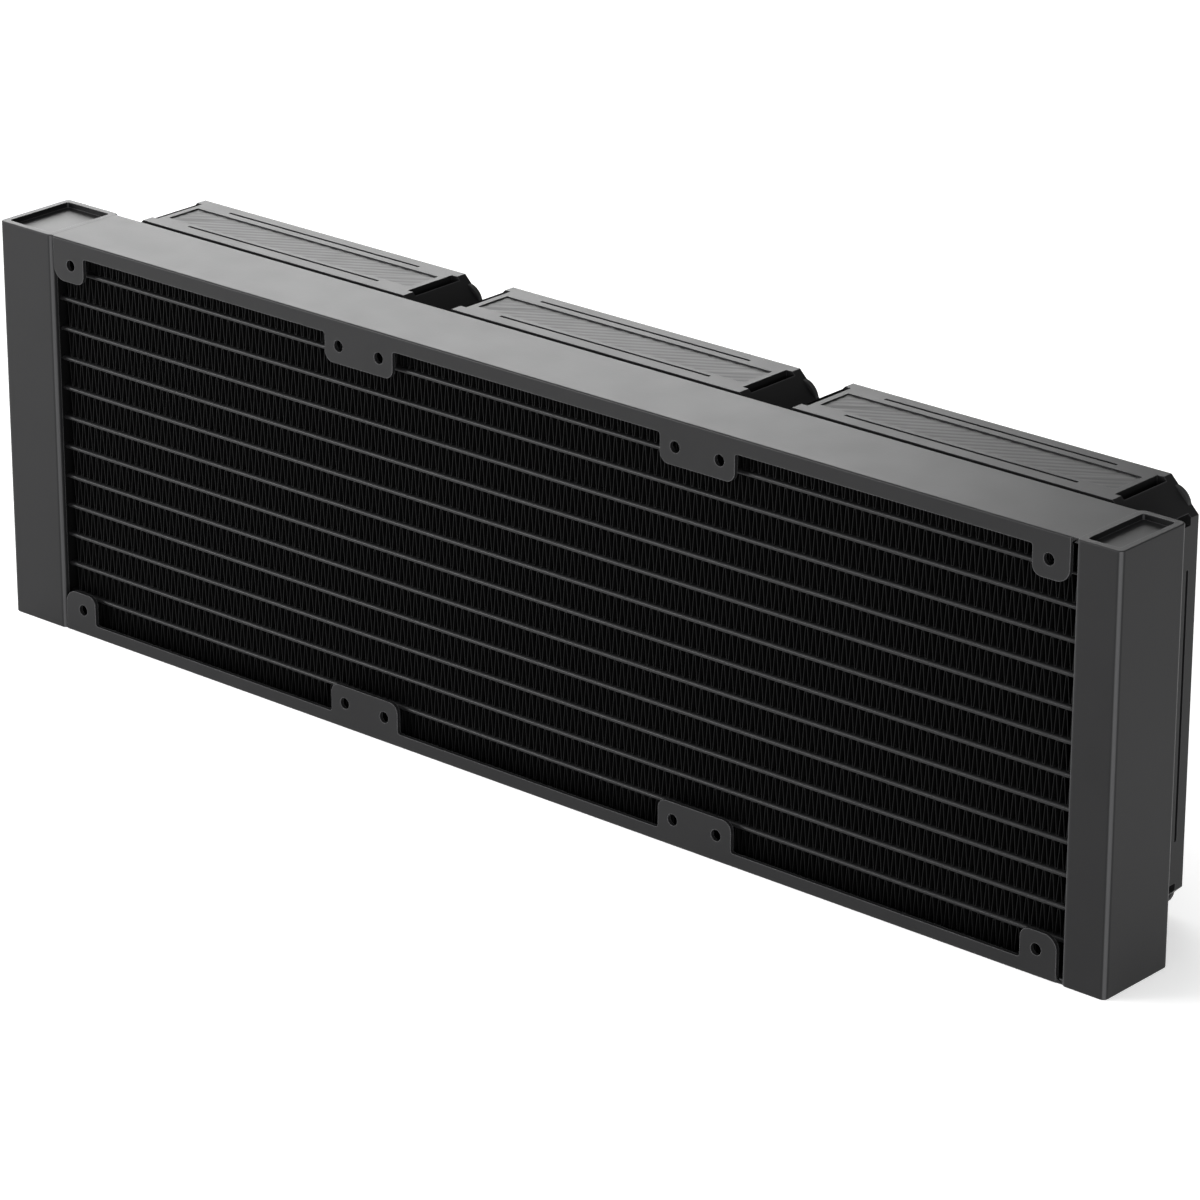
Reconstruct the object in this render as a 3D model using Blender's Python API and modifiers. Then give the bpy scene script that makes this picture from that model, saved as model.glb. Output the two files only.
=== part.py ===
"""Liquid cooling radiator with three axial fans.

Two end tanks are joined by flat coolant tubes with folded fin rows between
them. A side channel above and one below carry the screw tabs, and three fans
are screwed to the back. X runs along the radiator, +Y from its open face to
the fans and +Z up. The origin is the middle of the underside of the whole part.
"""

import math

import bmesh
import bpy
from mathutils import Matrix

MM = 0.001

# Driving dimensions
OVERALL_LENGTH = 395.6 * MM
HEIGHT = 120.0 * MM
RADIATOR_DEPTH = 27.0 * MM
GAP = 0.3 * MM  # left between pieces that touch
CUT = 1.0 * MM  # how far a cutter reaches past the face it opens

# Fans
FAN_COUNT = 3
FAN_PITCH = 120.0 * MM
FAN_SIZE = 119.7 * MM
FAN_DEPTH = 25.0 * MM
FAN_FROM_TANKS = 0.7 * MM
FAN_ROW_X = 3.5 * MM  # middle of the row of fans and of the core
HOLE_PITCH = 105.0 * MM
FAN_CHAMFER = 8.8 * MM
PAD_RADIUS = 5.2 * MM
PAD_THICKNESS = 1.5 * MM
PAD_STANDS_OUT = 1.0 * MM
THROAT_RADIUS = 57.7 * MM
FAN_HOLE_RADIUS = 2.2 * MM
COUNTERBORE_RADIUS = 3.4 * MM
COUNTERBORE_DEPTH = 2.4 * MM
PANEL_LENGTH = 94.3 * MM
PANEL_WIDTH = 11.7 * MM
PANEL_RECESS = 0.4 * MM
PANEL_MIDDLE = 12.3 * MM  # from the fan's radiator side
NOTCH_FROM_MIDDLE = 50.65 * MM
NOTCH_LENGTH = 3.2 * MM
NOTCH_WIDTH = 18.5 * MM
NOTCH_MIDDLE = 13.0 * MM
NOTCH_DEPTH = 4.0 * MM
STRUT_COUNT = 4
STRUT_WIDTH = 4.5 * MM
STRUT_FRONT = 0.5 * MM
STRUT_BACK = 4.0 * MM
HUB_PLATE_RADIUS = 19.5 * MM
JOIN = 1.0 * MM  # how far joined shapes reach into each other

# Motor and rotor, measured along the fan from its radiator side
BLADE_COUNT = 9
BLADE_THICKNESS = 1.5 * MM
BLADE_FRONT = 6.0 * MM
BLADE_BACK = 23.0 * MM
BLADE_TIP_GAP = 1.2 * MM
BLADE_ROOT_SWEEP = 26.0  # degrees of turn from edge to edge at the hub
BLADE_TIP_SWEEP = 33.0
BLADE_LEAN = 16.0
BLADE_TAPER = 0.12  # share of its depth that a blade loses towards its tip
BLADE_CAMBER = 1.6 * MM
BLADE_IN_CUP = 1.5 * MM
CUP_RADIUS = 20.0 * MM
CUP_BORE = 16.0 * MM
CUP_RIM = 5.0 * MM
CUP_FACE = 24.0 * MM
CUP_WALL = 2.0 * MM
CUP_CORNER = 1.6 * MM
BOSS_RADIUS = 3.6 * MM
BOSS_START = 17.0 * MM
SHAFT_RADIUS = 1.5 * MM
SHAFT_START = 4.8 * MM
SHAFT_END = 21.0 * MM
SHAFT_CLEARANCE = 0.10 * MM
BEARING_RADIUS = 3.9 * MM
BEARING_END = 15.6 * MM
HOUSING_RADIUS = 5.3 * MM
HOUSING_END = 15.0 * MM
STATOR_RADIUS = 15.0 * MM
STATOR_POLES = 6
STATOR_SLOT_RADIUS = 9.3 * MM
STATOR_STEPS_PER_POLE = 6
STATOR_STEPS_ON_A_FACE = 4
STATOR_START = 6.0 * MM
STATOR_END = 14.0 * MM

# Tanks
LEFT_TANK_WIDTH = 21.3 * MM
RIGHT_TANK_WIDTH = 13.8 * MM
TANK_WALL = 2.0 * MM
TANK_CORNER = 1.6 * MM
POCKET_DEPTH = 1.6 * MM
END_WALL = 2.0 * MM
BAFFLE = 1.5 * MM
HEADER_THICKNESS = 1.5 * MM
HEADER_INSET = 0.5 * MM
PORT_RADIUS = 6.6 * MM
PORT_SPACING = 60.0 * MM
PORT_FROM_LEFT = 10.0 * MM
PORT_BOSS_RADIUS = 8.1 * MM
PORT_BOSS_LENGTH = 7.0 * MM

# Core
TUBE_COUNT = 12
TUBE_PITCH = 9.0 * MM
TUBE_THICKNESS = 1.3 * MM
TUBE_DEPTH = 20.0 * MM
TUBE_SETBACK = 3.0 * MM  # behind the face of the tabs
TUBE_WALL = 0.4 * MM
TUBE_PAST_HEADER = 0.8 * MM
FIN_FOLDS = 22
FIN_DEPTH = 18.6 * MM
FIN_STRIP = 0.8 * MM
FIN_END_GAP = 1.0 * MM

# Side channels
FLANGE_FROM_LEFT_TANK = 0.6 * MM
FLANGE_FROM_RIGHT_TANK = 1.6 * MM
CHANNEL_INSET = 0.2 * MM
CHANNEL_DEPTH = 26.2 * MM
CHANNEL_SHEET = 1.2 * MM
CHANNEL_BEND = 0.5 * MM
UPPER_FLANGE_HEIGHT = 4.3 * MM
LOWER_FLANGE_HEIGHT = 3.7 * MM
TAB_HEIGHT = 12.4 * MM
TAB_CORNER = 2.8 * MM
END_TAB_CORNER = 4.0 * MM
TAB_FILLET = 0.8 * MM
TAB_HALF_WIDTH = 12.6 * MM  # of a tab with two holes
TAB_HOLE_RADIUS = 1.65 * MM

# Screws
SCREW_RADIUS = 1.35 * MM
SCREW_HEAD_RADIUS = 2.8 * MM
SCREW_HEAD = 1.9 * MM
SCREW_END_PAST_FLANGE = 1.2 * MM

# Facets of round shapes
FINE = 48
ROUND = 24
SMALL = 16
TINY = 10
TUBE_NOSE_STEPS = 2

# Places that follow from the sizes
LEFT_X = -OVERALL_LENGTH / 2
RIGHT_X = OVERALL_LENGTH / 2
LEFT_MOUTH_X = LEFT_X + LEFT_TANK_WIDTH
RIGHT_MOUTH_X = RIGHT_X - RIGHT_TANK_WIDTH
MIDDLE_Z = HEIGHT / 2
FRONT_Y = -(RADIATOR_DEPTH + FAN_FROM_TANKS + FAN_DEPTH) / 2
TANK_BACK_Y = FRONT_Y + RADIATOR_DEPTH
FAN_Y = TANK_BACK_Y + FAN_FROM_TANKS
CHANNEL_FRONT_Y = FRONT_Y + CHANNEL_INSET
CHANNEL_BACK_Y = CHANNEL_FRONT_Y + CHANNEL_DEPTH
TUBE_FRONT_Y = CHANNEL_FRONT_Y + TUBE_SETBACK
CORE_MIDDLE_Y = TUBE_FRONT_Y + TUBE_DEPTH / 2

# Finishes: colour, roughness, metallic
FINISHES = {
    "black_coat": ((0.035, 0.035, 0.036), 0.45, 0.3),
    "black_fin": ((0.012, 0.012, 0.013), 0.6, 0.3),
    "fan_frame_black": ((0.020, 0.020, 0.021), 0.5, 0.0),
    "rotor_black": ((0.016, 0.016, 0.017), 0.4, 0.0),
    "steel": ((0.55, 0.55, 0.56), 0.3, 1.0),
    "black_screw": ((0.03, 0.03, 0.03), 0.35, 0.9),
    "bearing_bronze": ((0.45, 0.30, 0.14), 0.4, 1.0),
    "stator_copper": ((0.50, 0.22, 0.10), 0.45, 0.9),
}


# Scene and objects

def clear_scene():
    for item in list(bpy.data.objects):
        bpy.data.objects.remove(item, do_unlink=True)


def make_collection(name):
    collection = bpy.data.collections.new(name)
    bpy.context.scene.collection.children.link(collection)
    return collection


def make_material(name):
    colour, roughness, metallic = FINISHES[name]
    material = bpy.data.materials.new(name)
    material.use_nodes = True
    shader = material.node_tree.nodes["Principled BSDF"]
    shader.inputs["Base Color"].default_value = (*colour, 1.0)
    shader.inputs["Roughness"].default_value = roughness
    shader.inputs["Metallic"].default_value = metallic
    return material


def add_part(name, mesh, finish, parent=None, location=(0.0, 0.0, 0.0)):
    """Put a finished mesh into the radiator's collection under its own name and material."""
    part = bpy.data.objects.new(name, mesh)
    part.location = location
    part.parent = parent
    PARTS.objects.link(part)
    if not mesh.materials:
        mesh.materials.append(make_material(finish))
    return part


def add_cutter(name, mesh):
    cutter = bpy.data.objects.new(name, mesh)
    cutter.hide_render = True
    cutter.display_type = "WIRE"
    CUTTERS.objects.link(cutter)
    return cutter


def mesh_of(form):
    """Turn a bmesh into a mesh with its faces pointing out."""
    bmesh.ops.recalc_face_normals(form, faces=form.faces)
    mesh = bpy.data.meshes.new("mesh")
    form.to_mesh(mesh)
    form.free()
    return mesh


def evaluated_mesh(item):
    bpy.context.view_layer.update()
    graph = bpy.context.evaluated_depsgraph_get()
    return bpy.data.meshes.new_from_object(item.evaluated_get(graph))


def combined(mesh, other, operation, name):
    """The mesh joined with, or cut by, another one."""
    cutter = add_cutter(name, other)
    work = bpy.data.objects.new(name + "_work", mesh)
    PARTS.objects.link(work)
    modifier = work.modifiers.new(operation, "BOOLEAN")
    modifier.operation = operation
    modifier.solver = "EXACT"
    modifier.object = cutter
    result = evaluated_mesh(work)
    bpy.data.objects.remove(work, do_unlink=True)
    return result


def cut(mesh, other, name):
    return combined(mesh, other, "DIFFERENCE", name)


def joined(mesh, other, name):
    return combined(mesh, other, "UNION", name)


def smooth(mesh, angle=35.0):
    mesh.shade_smooth()
    mesh.set_sharp_from_angle(angle=math.radians(angle))
    return mesh


# Shapes

def add_box(form, low, high):
    """Add a box between two corners to a bmesh and return its new edges."""
    size = [b - a for a, b in zip(low, high)]
    middle = [(a + b) / 2 for a, b in zip(low, high)]
    place = Matrix.Translation(middle) @ Matrix.Diagonal((*size, 1.0))
    new = bmesh.ops.create_cube(form, size=1.0, matrix=place)
    return {edge for vertex in new["verts"] for edge in vertex.link_edges}


def box(low, high):
    form = bmesh.new()
    add_box(form, low, high)
    return mesh_of(form)


def add_round_bar(form, radius, start, end, x, z, segments):
    """Add a cylinder along Y to a bmesh."""
    place = Matrix.Translation((x, (start + end) / 2, z)) @ Matrix.Rotation(math.pi / 2, 4, "X")
    bmesh.ops.create_cone(
        form, cap_ends=True, segments=segments, radius1=radius, radius2=radius,
        depth=end - start, matrix=place,
    )


def round_bar(radius, start, end, segments, x=0.0, z=0.0):
    form = bmesh.new()
    add_round_bar(form, radius, start, end, x, z, segments)
    return mesh_of(form)


def along(edge, axis):
    """Whether an edge runs along X, Y or Z (0, 1 or 2)."""
    way = (edge.verts[1].co - edge.verts[0].co).normalized()
    return abs(way[axis]) > 0.999


def rounded_box(low, high, axis, radius, segments):
    """A box whose edges along one axis are rounded."""
    form = bmesh.new()
    edges = [edge for edge in add_box(form, low, high) if along(edge, axis)]
    bmesh.ops.bevel(
        form, geom=edges, offset=radius, segments=segments, profile=0.5, affect="EDGES"
    )
    return mesh_of(form)


def plate(loops, start, end):
    """Extrude a filled outline, and the holes in it, along Y. Each loop is a list of (x, z)."""
    curve = bpy.data.curves.new("outline", "CURVE")
    curve.dimensions = "2D"
    curve.fill_mode = "BOTH"
    curve.extrude = (end - start) / 2
    for loop in loops:
        spline = curve.splines.new("POLY")
        spline.points.add(len(loop) - 1)
        for point, (x, z) in zip(spline.points, loop):
            point.co = (x, z, 0.0, 1.0)
        spline.use_cyclic_u = True
    item = bpy.data.objects.new("outline", curve)
    PARTS.objects.link(item)
    mesh = evaluated_mesh(item)
    bpy.data.objects.remove(item, do_unlink=True)
    form = bmesh.new()
    form.from_mesh(mesh)
    bmesh.ops.remove_doubles(form, verts=form.verts, dist=0.001 * MM)
    upright = Matrix.Translation((0.0, (start + end) / 2, 0.0)) @ Matrix.Rotation(math.pi / 2, 4, "X")
    form.transform(upright)
    return mesh_of(form)


def turned(profile, steps):
    """Turn a closed profile of (radius, y) round the Y axis."""
    mesh = bpy.data.meshes.new("profile")
    points = [(radius, y, 0.0) for radius, y in profile]
    count = len(points)
    closed = profile[0][0] > 0.0
    edges = [(i, (i + 1) % count) for i in range(count if closed else count - 1)]
    mesh.from_pydata(points, edges, [])
    item = bpy.data.objects.new("profile", mesh)
    PARTS.objects.link(item)
    screw = item.modifiers.new("turn", "SCREW")
    screw.axis = "Y"
    screw.steps = steps
    screw.render_steps = steps
    screw.use_merge_vertices = True
    screw.merge_threshold = 0.01 * MM
    result = evaluated_mesh(item)
    bpy.data.objects.remove(item, do_unlink=True)
    form = bmesh.new()
    form.from_mesh(result)
    return mesh_of(form)


def arc(x, z, radius, first, last, steps):
    """Points on an arc, with angles in degrees from +X towards +Z."""
    turn = (last - first) / steps
    angles = [math.radians(first + turn * i) for i in range(steps + 1)]
    return [(x + radius * math.cos(a), z + radius * math.sin(a)) for a in angles]


def circle(x, z, radius, segments):
    return arc(x, z, radius, 0.0, 360.0, segments)[:-1]


def slot_outline(half_length, half_width, steps):
    """A flat bar with round ends along X."""
    straight = half_length - half_width
    right = arc(straight, 0.0, half_width, -90.0, 90.0, steps)
    left = arc(-straight, 0.0, half_width, 90.0, 270.0, steps)
    return right + left


# Tanks and headers

def tank_shell(low_x, high_x):
    """The outer form of a tank, with a shallow pocket in its top and its underside."""
    shell = rounded_box(
        (low_x, FRONT_Y, 0.0), (high_x, TANK_BACK_Y, HEIGHT), 2, TANK_CORNER, 3
    )
    form = bmesh.new()
    for bottom in (-CUT, HEIGHT - POCKET_DEPTH):
        low = (low_x + TANK_WALL, FRONT_Y + TANK_WALL, bottom)
        high = (high_x - TANK_WALL, TANK_BACK_Y - TANK_WALL, bottom + POCKET_DEPTH + CUT)
        add_box(form, low, high)
    return cut(shell, mesh_of(form), "tank_pockets")


def cavity_ends():
    floor = POCKET_DEPTH + END_WALL
    return floor, HEIGHT - floor


def build_left_tank():
    """The wide tank: a baffle splits it into an inlet and an outlet chamber, each with a port."""
    bottom, top = cavity_ends()
    inner = LEFT_X + TANK_WALL
    mouth = LEFT_MOUTH_X + CUT
    baffle_end = LEFT_MOUTH_X - HEADER_INSET - HEADER_THICKNESS - GAP
    cavity = [
        (mouth, bottom),
        (inner, bottom),
        (inner, MIDDLE_Z - BAFFLE / 2),
        (baffle_end, MIDDLE_Z - BAFFLE / 2),
        (baffle_end, MIDDLE_Z + BAFFLE / 2),
        (inner, MIDDLE_Z + BAFFLE / 2),
        (inner, top),
        (mouth, top),
    ]
    hollow = plate([cavity], FRONT_Y + TANK_WALL, TANK_BACK_Y - TANK_WALL)
    mesh = cut(tank_shell(LEFT_X, LEFT_MOUTH_X), hollow, "left_tank_cavity")
    bosses = bmesh.new()
    ports = bmesh.new()
    x = LEFT_X + PORT_FROM_LEFT
    boss_start = TANK_BACK_Y - PORT_BOSS_LENGTH
    for z in (MIDDLE_Z - PORT_SPACING / 2, MIDDLE_Z + PORT_SPACING / 2):
        add_round_bar(bosses, PORT_BOSS_RADIUS, boss_start, TANK_BACK_Y - CUT, x, z, ROUND)
        add_round_bar(ports, PORT_RADIUS, boss_start - CUT, TANK_BACK_Y + CUT, x, z, ROUND)
    mesh = joined(mesh, mesh_of(bosses), "port_bosses")
    mesh = cut(mesh, mesh_of(ports), "port_holes")
    add_part("left_tank", smooth(mesh), "black_coat")


def build_right_tank():
    bottom, top = cavity_ends()
    hollow = box(
        (RIGHT_MOUTH_X - CUT, FRONT_Y + TANK_WALL, bottom),
        (RIGHT_X - TANK_WALL, TANK_BACK_Y - TANK_WALL, top),
    )
    mesh = cut(tank_shell(RIGHT_MOUTH_X, RIGHT_X), hollow, "right_tank_cavity")
    add_part("right_tank", smooth(mesh), "black_coat")


def tube_heights():
    first = MIDDLE_Z - TUBE_PITCH * (TUBE_COUNT - 1) / 2
    return [first + TUBE_PITCH * i for i in range(TUBE_COUNT)]


def header_spans():
    """Where each header lies along X: left, then right."""
    left = LEFT_MOUTH_X - HEADER_INSET
    right = RIGHT_MOUTH_X + HEADER_INSET
    return (left - HEADER_THICKNESS, left), (right, right + HEADER_THICKNESS)


def build_headers():
    """Slotted plates that close the tanks and hold the ends of the tubes."""
    half_width = (RADIATOR_DEPTH - 2 * TANK_WALL) / 2 - GAP
    bottom, top = cavity_ends()
    middle_y = FRONT_Y + RADIATOR_DEPTH / 2
    outline = [
        (-half_width, bottom + GAP), (half_width, bottom + GAP),
        (half_width, top - GAP), (-half_width, top - GAP),
    ]
    slots = []
    for height in tube_heights():
        slot = slot_outline(TUBE_DEPTH / 2 + GAP, TUBE_THICKNESS / 2 + GAP, TUBE_NOSE_STEPS)
        shift = CORE_MIDDLE_Y - middle_y
        slots.append([(-y - shift, z + height) for y, z in slot])
    for name, (start, end) in zip(("left_header", "right_header"), header_spans()):
        mesh = plate([outline, *slots], start, end)
        mesh.transform(Matrix.Rotation(-math.pi / 2, 4, "Z"))
        mesh.transform(Matrix.Translation((0.0, middle_y, 0.0)))
        add_part(name, mesh, "black_coat")


# Core

def build_tubes():
    """Hollow flat tubes that run from inside one tank to inside the other."""
    (left, _), (_, right) = header_spans()
    start = left - TUBE_PAST_HEADER
    end = right + TUBE_PAST_HEADER
    outer = slot_outline(TUBE_DEPTH / 2, TUBE_THICKNESS / 2, TUBE_NOSE_STEPS)
    inner = slot_outline(
        TUBE_DEPTH / 2 - TUBE_WALL, TUBE_THICKNESS / 2 - TUBE_WALL, TUBE_NOSE_STEPS
    )
    mesh = plate([outer, inner], start, end)
    mesh.transform(Matrix.Rotation(-math.pi / 2, 4, "Z"))
    smooth(mesh)
    for number, height in enumerate(tube_heights(), 1):
        add_part(f"tube_{number:02d}", mesh, "black_coat", location=(0.0, CORE_MIDDLE_Y, height))


def fin_outline(low_x, high_x, height):
    """One folded strip, seen from the open face."""
    half = height / 2
    step = (high_x - low_x) / FIN_FOLDS
    slope = math.hypot(step, height) / step
    rise = FIN_STRIP * slope / 2
    crests = [
        (low_x + step * i, (half - rise) * (1 if i % 2 else -1)) for i in range(FIN_FOLDS + 1)
    ]
    upper = [(x, z + rise) for x, z in crests]
    lower = [(x, z - rise) for x, z in crests]
    return lower + upper[::-1]


def build_fins():
    """A folded strip between each pair of tubes, and one beyond the last tube on each side."""
    height = TUBE_PITCH - TUBE_THICKNESS - 2 * GAP
    low_x = LEFT_MOUTH_X + FIN_END_GAP
    high_x = RIGHT_MOUTH_X - FIN_END_GAP
    start = CORE_MIDDLE_Y - FIN_DEPTH / 2
    mesh = plate([fin_outline(low_x, high_x, height)], start, start + FIN_DEPTH)
    first = tube_heights()[0] - TUBE_PITCH / 2
    for number in range(TUBE_COUNT + 1):
        place = (0.0, 0.0, first + TUBE_PITCH * number)
        add_part(f"fin_row_{number + 1:02d}", mesh, "black_fin", location=place)


# Side channels

def hole_offsets():
    """The screw holes along the row, from its middle."""
    rows = [FAN_PITCH * (i - (FAN_COUNT - 1) / 2) for i in range(FAN_COUNT)]
    return [row + side * HOLE_PITCH / 2 for row in rows for side in (-1, 1)]


def tab_gap(low, high, tab, flange):
    """The opening between two tabs, whose lower corners are round, as (x, z)."""
    corner = TAB_CORNER
    fillet = TAB_FILLET
    points = [(low - corner, tab - CUT)]
    points += arc(low - corner, tab + corner, corner, -90.0, 0.0, 2)
    points += arc(low + fillet, flange - fillet, fillet, 180.0, 90.0, 2)
    points += arc(high - fillet, flange - fillet, fillet, 90.0, 0.0, 2)
    points += arc(high + corner, tab + corner, corner, 180.0, 270.0, 2)
    points.append((high + corner, tab - CUT))
    return points


def end_space(side, end, edge):
    """The space between an end tab, whose outer corner is round, and the tank beside it."""
    tab = edge - TAB_HEIGHT
    sheet = edge - CHANNEL_SHEET
    corner = END_TAB_CORNER
    past = end + corner
    points = [(past, tab - CUT), (end - corner, tab - CUT)]
    points += arc(end - corner, tab + corner, corner, -90.0, 0.0, 3)
    points += [(end, sheet), (past, sheet)]
    return [(side * x, z) for x, z in points]


def channel_openings(edge, flange_height):
    """The spaces beside and between the four tabs, and their screw holes, as outlines."""
    tab = edge - TAB_HEIGHT
    flange = edge - flange_height
    tabs = [FAN_PITCH * (i - FAN_COUNT / 2) for i in range(FAN_COUNT + 1)]
    loops = [
        tab_gap(left + TAB_HALF_WIDTH, right - TAB_HALF_WIDTH, tab, flange)
        for left, right in zip(tabs, tabs[1:])
    ]
    loops.append(end_space(-1, FAN_ROW_X - LEFT_MOUTH_X - FLANGE_FROM_LEFT_TANK, edge))
    loops.append(end_space(1, RIGHT_MOUTH_X - FLANGE_FROM_RIGHT_TANK - FAN_ROW_X, edge))
    return loops + [circle(x, HOLE_PITCH / 2, TAB_HOLE_RADIUS, TINY) for x in hole_offsets()]


def channel_block(start, end, edge):
    """A solid bar as tall as the tabs, with its two long bends rounded."""
    low = (start, CHANNEL_FRONT_Y, edge - TAB_HEIGHT)
    high = (end, CHANNEL_BACK_Y, edge)
    form = bmesh.new()
    bends = [e for e in add_box(form, low, high) if along(e, 0) and e.verts[0].co.z > edge - GAP]
    bmesh.ops.bevel(
        form, geom=bends, offset=CHANNEL_BEND, segments=3, profile=0.5, affect="EDGES"
    )
    return mesh_of(form)


def channel(flange_height):
    """A U-shaped side plate with drilled tabs on both faces, open downwards."""
    edge = HEIGHT / 2 - CHANNEL_INSET
    start = LEFT_MOUTH_X + GAP - FAN_ROW_X
    end = RIGHT_MOUTH_X - GAP - FAN_ROW_X
    inside = box(
        (start - CUT, CHANNEL_FRONT_Y + CHANNEL_SHEET, edge - TAB_HEIGHT - CUT),
        (end + CUT, CHANNEL_BACK_Y - CHANNEL_SHEET, edge - CHANNEL_SHEET),
    )
    outlines = channel_openings(edge, flange_height)
    openings = plate(outlines, CHANNEL_FRONT_Y - CUT, CHANNEL_BACK_Y + CUT)
    mesh = cut(channel_block(start, end, edge), inside, "channel_inside")
    return smooth(cut(mesh, openings, "channel_openings"))


def build_channels():
    """The upper channel, and the lower one turned upside down."""
    bottom = channel(LOWER_FLANGE_HEIGHT)
    bottom.transform(Matrix.Diagonal((1.0, 1.0, -1.0, 1.0)))
    bottom.flip_normals()
    place = (FAN_ROW_X, 0.0, MIDDLE_Z)
    add_part("top_channel", channel(UPPER_FLANGE_HEIGHT), "black_coat", location=place)
    add_part("bottom_channel", bottom, "black_coat", location=place)


# Fans

def corners():
    return [(x * HOLE_PITCH / 2, z * HOLE_PITCH / 2) for x in (-1, 1) for z in (-1, 1)]


def frame_block():
    """The square frame with cut corners and a round pad at each corner of both faces."""
    half = FAN_SIZE / 2
    form = bmesh.new()
    edges = [e for e in add_box(form, (-half, 0.0, -half), (half, FAN_DEPTH, half)) if along(e, 1)]
    bmesh.ops.bevel(form, geom=edges, offset=FAN_CHAMFER, segments=1, affect="EDGES")
    pads = bmesh.new()
    for x, z in corners():
        add_round_bar(pads, PAD_RADIUS, -PAD_STANDS_OUT, PAD_THICKNESS, x, z, SMALL)
        add_round_bar(pads, PAD_RADIUS, FAN_DEPTH - PAD_THICKNESS, FAN_DEPTH, x, z, SMALL)
    return joined(mesh_of(form), mesh_of(pads), "frame_pads")


def frame_side_recesses():
    """A long shallow panel and two end notches, on each of the four sides."""
    half = FAN_SIZE / 2
    form = bmesh.new()
    sides = [Matrix.Rotation(math.radians(90.0 * turn), 4, "Y") for turn in range(4)]
    for side in sides:
        part = bmesh.new()
        add_box(
            part,
            (-PANEL_LENGTH / 2, PANEL_MIDDLE - PANEL_WIDTH / 2, half - PANEL_RECESS),
            (PANEL_LENGTH / 2, PANEL_MIDDLE + PANEL_WIDTH / 2, half + CUT),
        )
        for end in (-1, 1):
            middle = end * NOTCH_FROM_MIDDLE
            add_box(
                part,
                (middle - NOTCH_LENGTH / 2, NOTCH_MIDDLE - NOTCH_WIDTH / 2, half - NOTCH_DEPTH),
                (middle + NOTCH_LENGTH / 2, NOTCH_MIDDLE + NOTCH_WIDTH / 2, half + CUT),
            )
        part.transform(side)
        mesh = mesh_of(part)
        form.from_mesh(mesh)
        bpy.data.meshes.remove(mesh)
    return mesh_of(form)


def frame_holes():
    form = bmesh.new()
    for x, z in corners():
        add_round_bar(form, FAN_HOLE_RADIUS, -PAD_STANDS_OUT - CUT, FAN_DEPTH + CUT, x, z, TINY)
    add_round_bar(form, THROAT_RADIUS, -CUT, FAN_DEPTH + CUT, 0.0, 0.0, FINE)
    return mesh_of(form)


def frame_counterbores():
    form = bmesh.new()
    seat = FAN_DEPTH - COUNTERBORE_DEPTH
    for x, z in corners():
        add_round_bar(form, COUNTERBORE_RADIUS, seat, FAN_DEPTH + CUT, x, z, TINY)
    return mesh_of(form)


def frame_spider():
    """The hub plate and the housing of the bearing, held by four struts."""
    reach = THROAT_RADIUS + JOIN
    hub = round_bar(HUB_PLATE_RADIUS, STRUT_FRONT, STRUT_BACK, ROUND)
    for turn in range(STRUT_COUNT):
        form = bmesh.new()
        low = (HUB_PLATE_RADIUS - JOIN, STRUT_FRONT, -STRUT_WIDTH / 2)
        high = (reach, STRUT_BACK, STRUT_WIDTH / 2)
        add_box(form, low, high)
        form.transform(Matrix.Rotation(math.radians(45.0 + 360.0 / STRUT_COUNT * turn), 4, "Y"))
        hub = joined(hub, mesh_of(form), "strut")
    housing = round_bar(HOUSING_RADIUS, STRUT_BACK - JOIN, HOUSING_END, SMALL)
    hub = joined(hub, housing, "bearing_housing")
    bore = round_bar(BEARING_RADIUS + GAP, STRUT_BACK, HOUSING_END + CUT, SMALL)
    return cut(hub, bore, "bearing_seat")


def fan_frame():
    mesh = cut(frame_block(), frame_side_recesses(), "frame_recesses")
    mesh = cut(mesh, frame_holes(), "frame_holes")
    mesh = cut(mesh, frame_counterbores(), "frame_counterbores")
    return smooth(joined(mesh, frame_spider(), "frame_spider"), 30.0)


def rotor_cup():
    """The cup that carries the blades, open towards the radiator, with a boss for the shaft."""
    boss_bore = SHAFT_RADIUS + GAP / 2
    inside = CUP_FACE - CUP_WALL
    flat = CUP_RADIUS - CUP_CORNER
    profile = [
        (0.0, CUP_FACE), *arc(flat, CUP_FACE - CUP_CORNER, CUP_CORNER, 90.0, 0.0, 2),
        (CUP_RADIUS, CUP_RIM), (CUP_BORE, CUP_RIM),
        (CUP_BORE, inside), (BOSS_RADIUS, inside), (BOSS_RADIUS, BOSS_START),
        (boss_bore, BOSS_START), (boss_bore, SHAFT_END + GAP), (0.0, SHAFT_END + GAP),
    ]
    return turned(profile, ROUND)


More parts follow.
